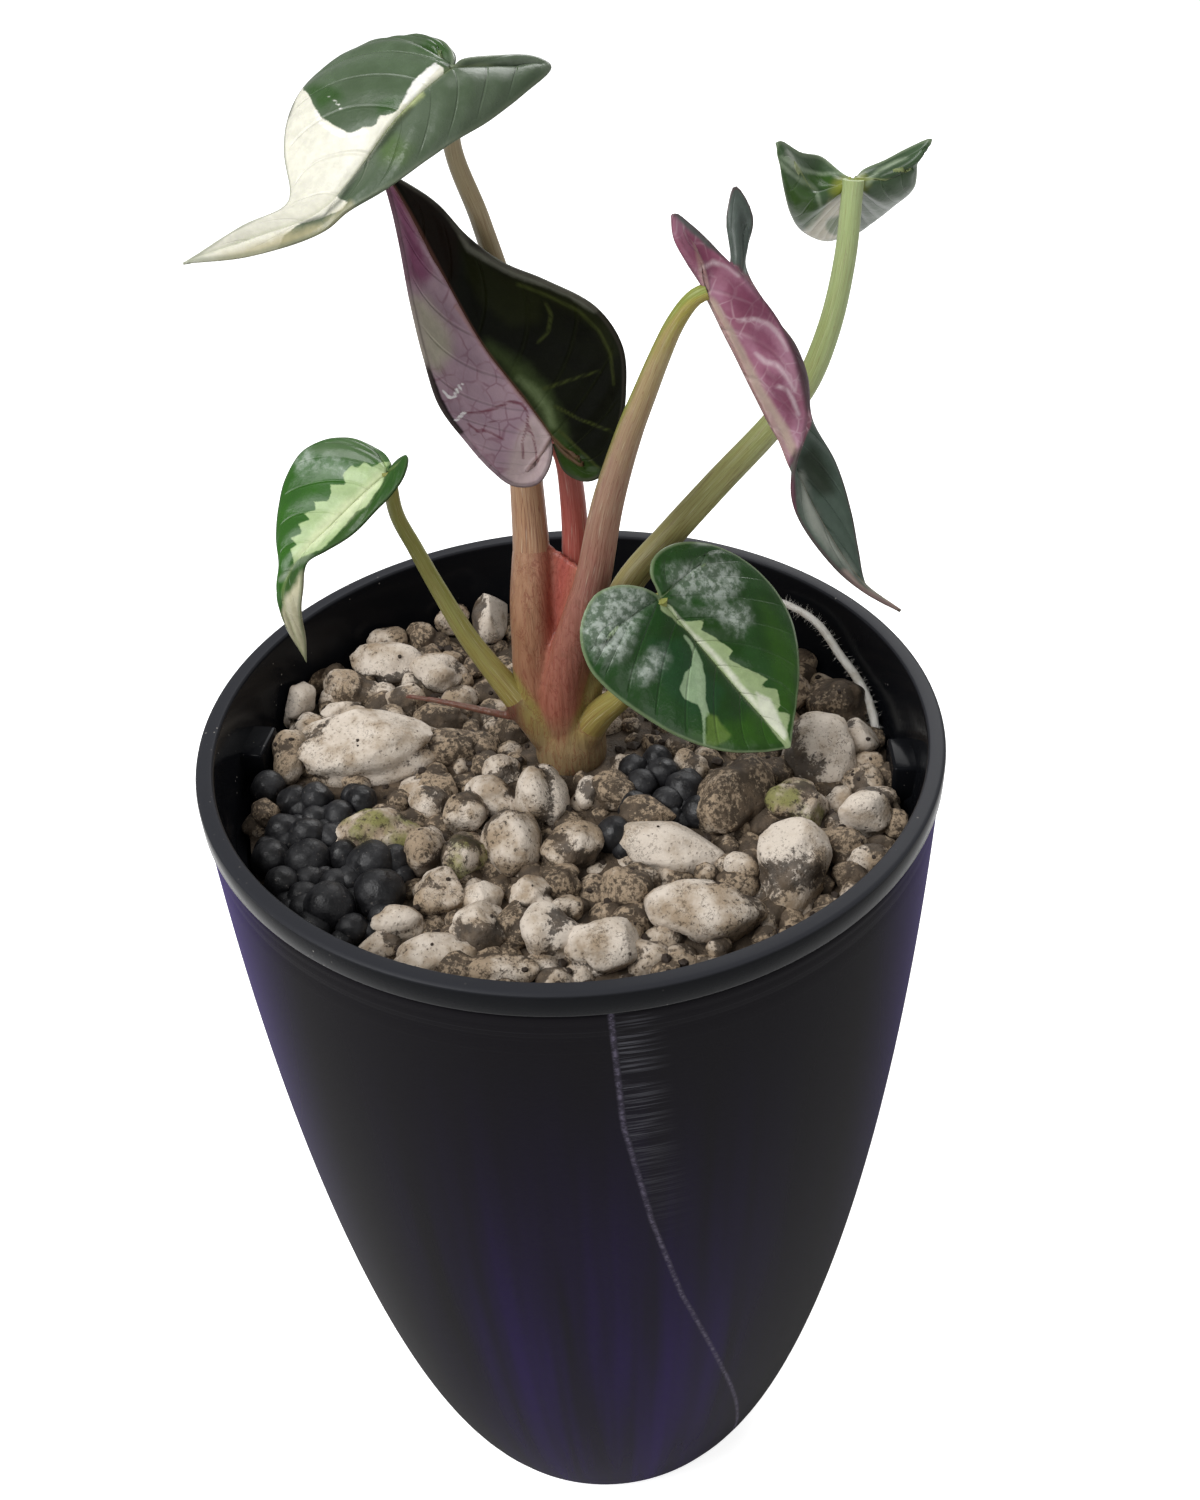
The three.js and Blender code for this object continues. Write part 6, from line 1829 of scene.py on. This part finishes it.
class ALOCASIA_OT_crumbs(bpy.types.Operator):
    """Scatter dark soil crumbs over the pumice"""

    bl_idname = "alocasia.crumbs"
    bl_label = "Soil crumbs"

    def execute(self, context):
        settings = context.scene.alocasia_bed
        draw = random.Random(settings.seed)
        bed = bpy.data.objects["pumice_bed"]
        tree = BVHTree.FromObject(bed, context.evaluated_depsgraph_get())
        deselect()
        bpy.ops.mesh.primitive_ico_sphere_add(subdivisions=1, radius=1)
        master = bpy.context.active_object
        shape = coordinates(master)
        pieces = []
        for _ in range(CRUMB_COUNT):
            reach = CRUMB_REACH * math.sqrt(draw.random())
            angle = draw.uniform(0, math.tau)
            spot = Vector((reach * math.cos(angle), reach * math.sin(angle), CRUMB_DROP_Z)) * MM
            hit = tree.ray_cast(spot, Vector((0, 0, -1)))
            if hit[0] is None:
                continue
            deep = hit[0].z < (BED_TOP_Z + 2.4) * MM
            if not deep and draw.random() > 0.3:
                continue
            size = draw.uniform(0.35, 1.0) * (1.0 if deep else 0.45)
            obj = copy_of(master)
            ranges = ((0.6, 1.2), (0.6, 1.2), (0.5, 0.9))
            stretch = np.array([draw.uniform(low, high) for low, high in ranges])
            jitter = np.array([[draw.uniform(0.8, 1.2)] for _ in range(len(shape))])
            place_vertices(obj, shape * jitter * stretch * size * MM + np.array(hit[0]))
            pieces.append(obj)
        obj = join(pieces, "soil_crumbs")
        bpy.data.objects.remove(master)
        finish_piece(obj, None, [soil_material(settings)])
        return {"FINISHED"}


class ALOCASIA_OT_petioles(bpy.types.Operator):
    """Model the six petioles"""

    bl_idname = "alocasia.petioles"
    bl_label = "Petioles"

    def execute(self, context):
        for name, shape in PETIOLES.items():
            obj = tube_mesh(name + "_stalk", shape["points"], shape["radii"], STALK_ROWS, STALK_AROUND,
                            start=STALK_START)
            stops, streak, share, green = PETIOLE_LOOKS[name]
            stops = [(at, linear(code)) for at, code in stops]
            material = petiole_material(name + "_skin", stops, linear(streak), share, green)
            smooth(obj, 50)
            finish_piece(obj, name, [material])
        return {"FINISHED"}


class ALOCASIA_OT_stem_base(bpy.types.Operator):
    """Model the stem base with its sheaths and dry root"""

    bl_idname = "alocasia.stem_base"
    bl_label = "Stem base"

    def execute(self, context):
        parts = []
        for name, shape in PETIOLES.items():
            parts.append(tube_mesh(
                name + "_sheath", shape["points"], shape["radii"], SHEATH_ROWS, SHEATH_AROUND,
                sheath_flare, 0.0, SHEATHS[name]))
        for i, line in enumerate(web_lines()):
            parts.append(tube_mesh(f"web_{i}", line, WEB_RADII, SHEATH_ROWS, WEB_AROUND))
        body = spun_profile("corm", CORM_PROFILE, CORM_STEPS)
        place_vertices(body, coordinates(body) + np.array([STEM_X, STEM_Y, 0]) * MM)
        parts.append(body)
        parts.append(tube_mesh("dry_root", DRY_ROOT, DRY_ROOT_RADII, DRY_ROOT_ROWS, DRY_ROOT_AROUND))
        obj = join(parts, "stem_base_sheaths")
        apply_modifier(obj, "REMESH", mode="VOXEL", voxel_size=STEM_VOXEL * MM)
        apply_modifier(obj, "SMOOTH", factor=0.5, iterations=6)
        paint_colours(obj, "sheath", sheath_colours(coordinates(obj) / MM))
        smooth(obj)
        finish_piece(obj, "stem_base", [stem_base_material()])
        return {"FINISHED"}


def sheath_flare(t):
    """How much wider than its stalk a sheath is, thinning out at its top."""
    return 0.45 * (1 - t) + 0.08 - 0.4 * np.clip((t - 0.85) / 0.15, 0, 1)


def web_lines():
    """Lines of the reddish tissue that joins the upper left and hanging right stalks."""
    first, middle, last = (
        even_curve(PETIOLES[name]["points"], np.linspace(0, SHEATHS[name] * 0.95, 9))
        for name in ("petiole_upper_left", "petiole_centre", "petiole_hanging_right")
    )
    pull = 0.7 * middle + 0.15 * (first + last)
    return [first * (1 - s) ** 2 + pull * 2 * s * (1 - s) + last * s**2 for s in WEB_STEPS]


def sheath_colours(points):
    """Colour of each spot of the stem base, from its nearest sheath and its height."""
    lines = []
    for name, shape in PETIOLES.items():
        shares = np.linspace(0, SHEATHS[name], 30)
        stops = PETIOLE_LOOKS[name][0]
        places = [at for at, _ in stops]
        codes = np.array([linear(code) for _, code in stops])
        shades = np.stack([np.interp(shares, places, codes[:, k]) for k in range(3)], axis=1)
        lines.append((even_curve(shape["points"], shares), shades))
    for share, line in zip(WEB_STEPS, web_lines()):
        code = "a5544a" if 0.3 < share < 0.7 else "a06a56"
        fine = even_curve(line, np.linspace(0, 1, 30))
        lines.append((fine, np.tile(linear(code), (30, 1))))
    weights = np.zeros(len(points))
    colours = np.zeros((len(points), 3))
    for line, shades in lines:
        gaps = np.linalg.norm(points[:, None] - line[None], axis=2)
        weight = np.exp(-((gaps.min(axis=1) / 1.3) ** 2)) + 1e-12
        colours += shades[gaps.argmin(axis=1)] * weight[:, None]
        weights += weight
    colours /= weights[:, None]
    low = np.clip((153 - points[:, 2]) / 7, 0, 1)[:, None]
    colours = colours * (1 - low) + np.array(linear("8a7656")) * low
    root = np.clip((-5.5 - points[:, 0]) / 2, 0, 1)[:, None] * (points[:, 2] < 154)[:, None]
    return colours * (1 - root) + np.array(linear("6a4a3c")) * root


class ALOCASIA_OT_white_root(bpy.types.Operator):
    """Model the white root with its fine hairs"""

    bl_idname = "alocasia.white_root"
    bl_label = "White root"

    def execute(self, context):
        obj = tube_mesh(
            "white_root_thread", WHITE_ROOT, WHITE_ROOT_RADII, WHITE_ROOT_ROWS, WHITE_ROOT_AROUND)
        draw = random.Random(HAIR_SEED)
        centres = even_curve(WHITE_ROOT, np.linspace(0.02, 0.98, HAIR_COUNT))
        ahead = np.gradient(centres, axis=0)
        ahead /= np.linalg.norm(ahead, axis=1, keepdims=True)
        deselect()
        bpy.ops.mesh.primitive_cone_add(vertices=3, radius1=1, radius2=0, depth=1, location=(0, 0, 0.5))
        cone = bpy.context.active_object
        settle(cone)
        shape = coordinates(cone)
        pieces = [obj]
        for centre, direction in zip(centres, ahead):
            way = unit_vector(draw)
            way -= direction * (way @ direction)
            way /= np.linalg.norm(way)
            lean = way + direction * draw.uniform(-0.5, 0.5)
            turn = np.array(Vector(lean).to_track_quat("Z", "Y").to_matrix())
            size = np.array([HAIR_RADIUS, HAIR_RADIUS, draw.uniform(0.9, 1.7)])
            hair = copy_of(cone)
            place_vertices(hair, ((shape * size) @ turn.T + centre) * MM)
            pieces.append(hair)
        obj = join(pieces, "white_root_thread")
        bpy.data.objects.remove(cone)
        smooth(obj, 50)
        finish_piece(obj, "white_root", [root_material()])
        return {"FINISHED"}


class ALOCASIA_OT_leaves(bpy.types.Operator):
    """Model the six leaf blades"""

    bl_idname = "alocasia.leaves"
    bl_label = "Leaves"

    def execute(self, context):
        for name, leaf in LEAVES.items():
            blade = leaf_mesh(name + "_blade", leaf, MARKS[name])
            looks = LEAF_LOOKS[name]
            top = leaf_finish(name + "_top", looks["top"])
            under = leaf_finish(name + "_under", looks["under"])
            finish_piece(blade, name, [top, under, under])
        return {"FINISHED"}


# Studio, in metres: each lamp's place and its share of the key light's power

FLOOR_SIZE = 6
LAMP_SIZE = 0.5
LAMP_AIM_HEIGHT = 0.16
LAMPS = {
    "key_light": ((-0.45, -0.25, 0.75), 1.0),
    "front_fill": ((0.5, -0.8, 0.45), 0.2),
    "rim_light": ((0.25, 0.6, 0.6), 0.5),
}


class ALOCASIA_OT_studio(bpy.types.Operator):
    """Set the pale floor, the soft lights and the camera"""

    bl_idname = "alocasia.studio"
    bl_label = "Studio"

    def execute(self, context):
        settings = context.scene.alocasia_studio
        deselect()
        bpy.ops.mesh.primitive_plane_add(size=FLOOR_SIZE, location=(0, 0, 0))
        floor = bpy.context.active_object
        floor.name = "studio_floor"
        floor.data.materials.append(floor_material(settings))
        for name, (place, share) in LAMPS.items():
            self.light(name, place, settings.key_power * share)
        world = bpy.data.worlds.new("studio_world")
        context.scene.world = world
        world.use_nodes = True
        tree = world.node_tree
        sky = tree.nodes["Background"]
        sky.inputs["Color"].default_value = (1, 1, 1, 1)
        path = tree.nodes.new("ShaderNodeLightPath")
        level = tree.nodes.new("ShaderNodeMix")
        level.inputs["A"].default_value = settings.world_strength
        level.inputs["B"].default_value = 1.0
        tree.links.new(path.outputs["Is Camera Ray"], level.inputs["Factor"])
        tree.links.new(level.outputs["Result"], sky.inputs["Strength"])
        context.scene.view_settings.view_transform = "Standard"
        self.camera(context)
        return {"FINISHED"}

    def light(self, name, place, power):
        lamp = bpy.data.lights.new(name, "AREA")
        lamp.size = LAMP_SIZE
        lamp.energy = power
        obj = bpy.data.objects.new(name, lamp)
        bpy.context.scene.collection.objects.link(obj)
        obj.location = place
        ahead = Vector((0, 0, LAMP_AIM_HEIGHT)) - Vector(place)
        obj.rotation_euler = ahead.to_track_quat("-Z", "Y").to_euler()

    def camera(self, context):
        """Stand the camera where the photograph was taken from."""
        place, right, up, ahead = camera_pose()
        lens = bpy.data.cameras.new("photo_camera")
        lens.sensor_width = 36
        lens.lens = PHOTO_FOCUS / PHOTO_HEIGHT * lens.sensor_width
        lens.clip_start = 0.01
        obj = bpy.data.objects.new("photo_camera", lens)
        context.scene.collection.objects.link(obj)
        pose = Matrix((right, up, -ahead)).transposed().to_4x4()
        pose.translation = place * MM
        obj.matrix_world = pose
        context.scene.camera = obj


class ALOCASIA_PT_sidebar(bpy.types.Panel):
    """Lists the pieces and their settings"""

    bl_idname = "ALOCASIA_PT_sidebar"
    bl_label = "Potted Alocasia"
    bl_space_type = "VIEW_3D"
    bl_region_type = "UI"
    bl_category = "Alocasia"

    def draw(self, context):
        column = self.layout.column()
        for operator in OPERATORS:
            column.operator(operator.bl_idname, text=operator.bl_label)
        for name in GROUPS:
            group = getattr(context.scene, name)
            box = column.box()
            for key in group.__annotations__:
                box.prop(group, key)


OPERATORS = (
    ALOCASIA_OT_cover_pot,
    ALOCASIA_OT_liner_pot,
    ALOCASIA_OT_pumice,
    ALOCASIA_OT_pellets,
    ALOCASIA_OT_crumbs,
    ALOCASIA_OT_petioles,
    ALOCASIA_OT_stem_base,
    ALOCASIA_OT_white_root,
    ALOCASIA_OT_leaves,
    ALOCASIA_OT_studio,
)
GROUPS = {
    "alocasia_pots": AlocasiaPotSettings,
    "alocasia_bed": AlocasiaBedSettings,
    "alocasia_studio": AlocasiaStudioSettings,
}


def register():
    for group in GROUPS.values():
        bpy.utils.register_class(group)
    for item in (*OPERATORS, ALOCASIA_PT_sidebar):
        bpy.utils.register_class(item)
    for name, group in GROUPS.items():
        setattr(bpy.types.Scene, name, PointerProperty(type=group))


def unregister():
    for name in GROUPS:
        delattr(bpy.types.Scene, name)
    for item in (*OPERATORS, ALOCASIA_PT_sidebar, *GROUPS.values()):
        bpy.utils.unregister_class(item)


def main():
    register()
    for operator in OPERATORS:
        group, name = operator.bl_idname.split(".")
        getattr(getattr(bpy.ops, group), name)()


if __name__ == "__main__":
    main()
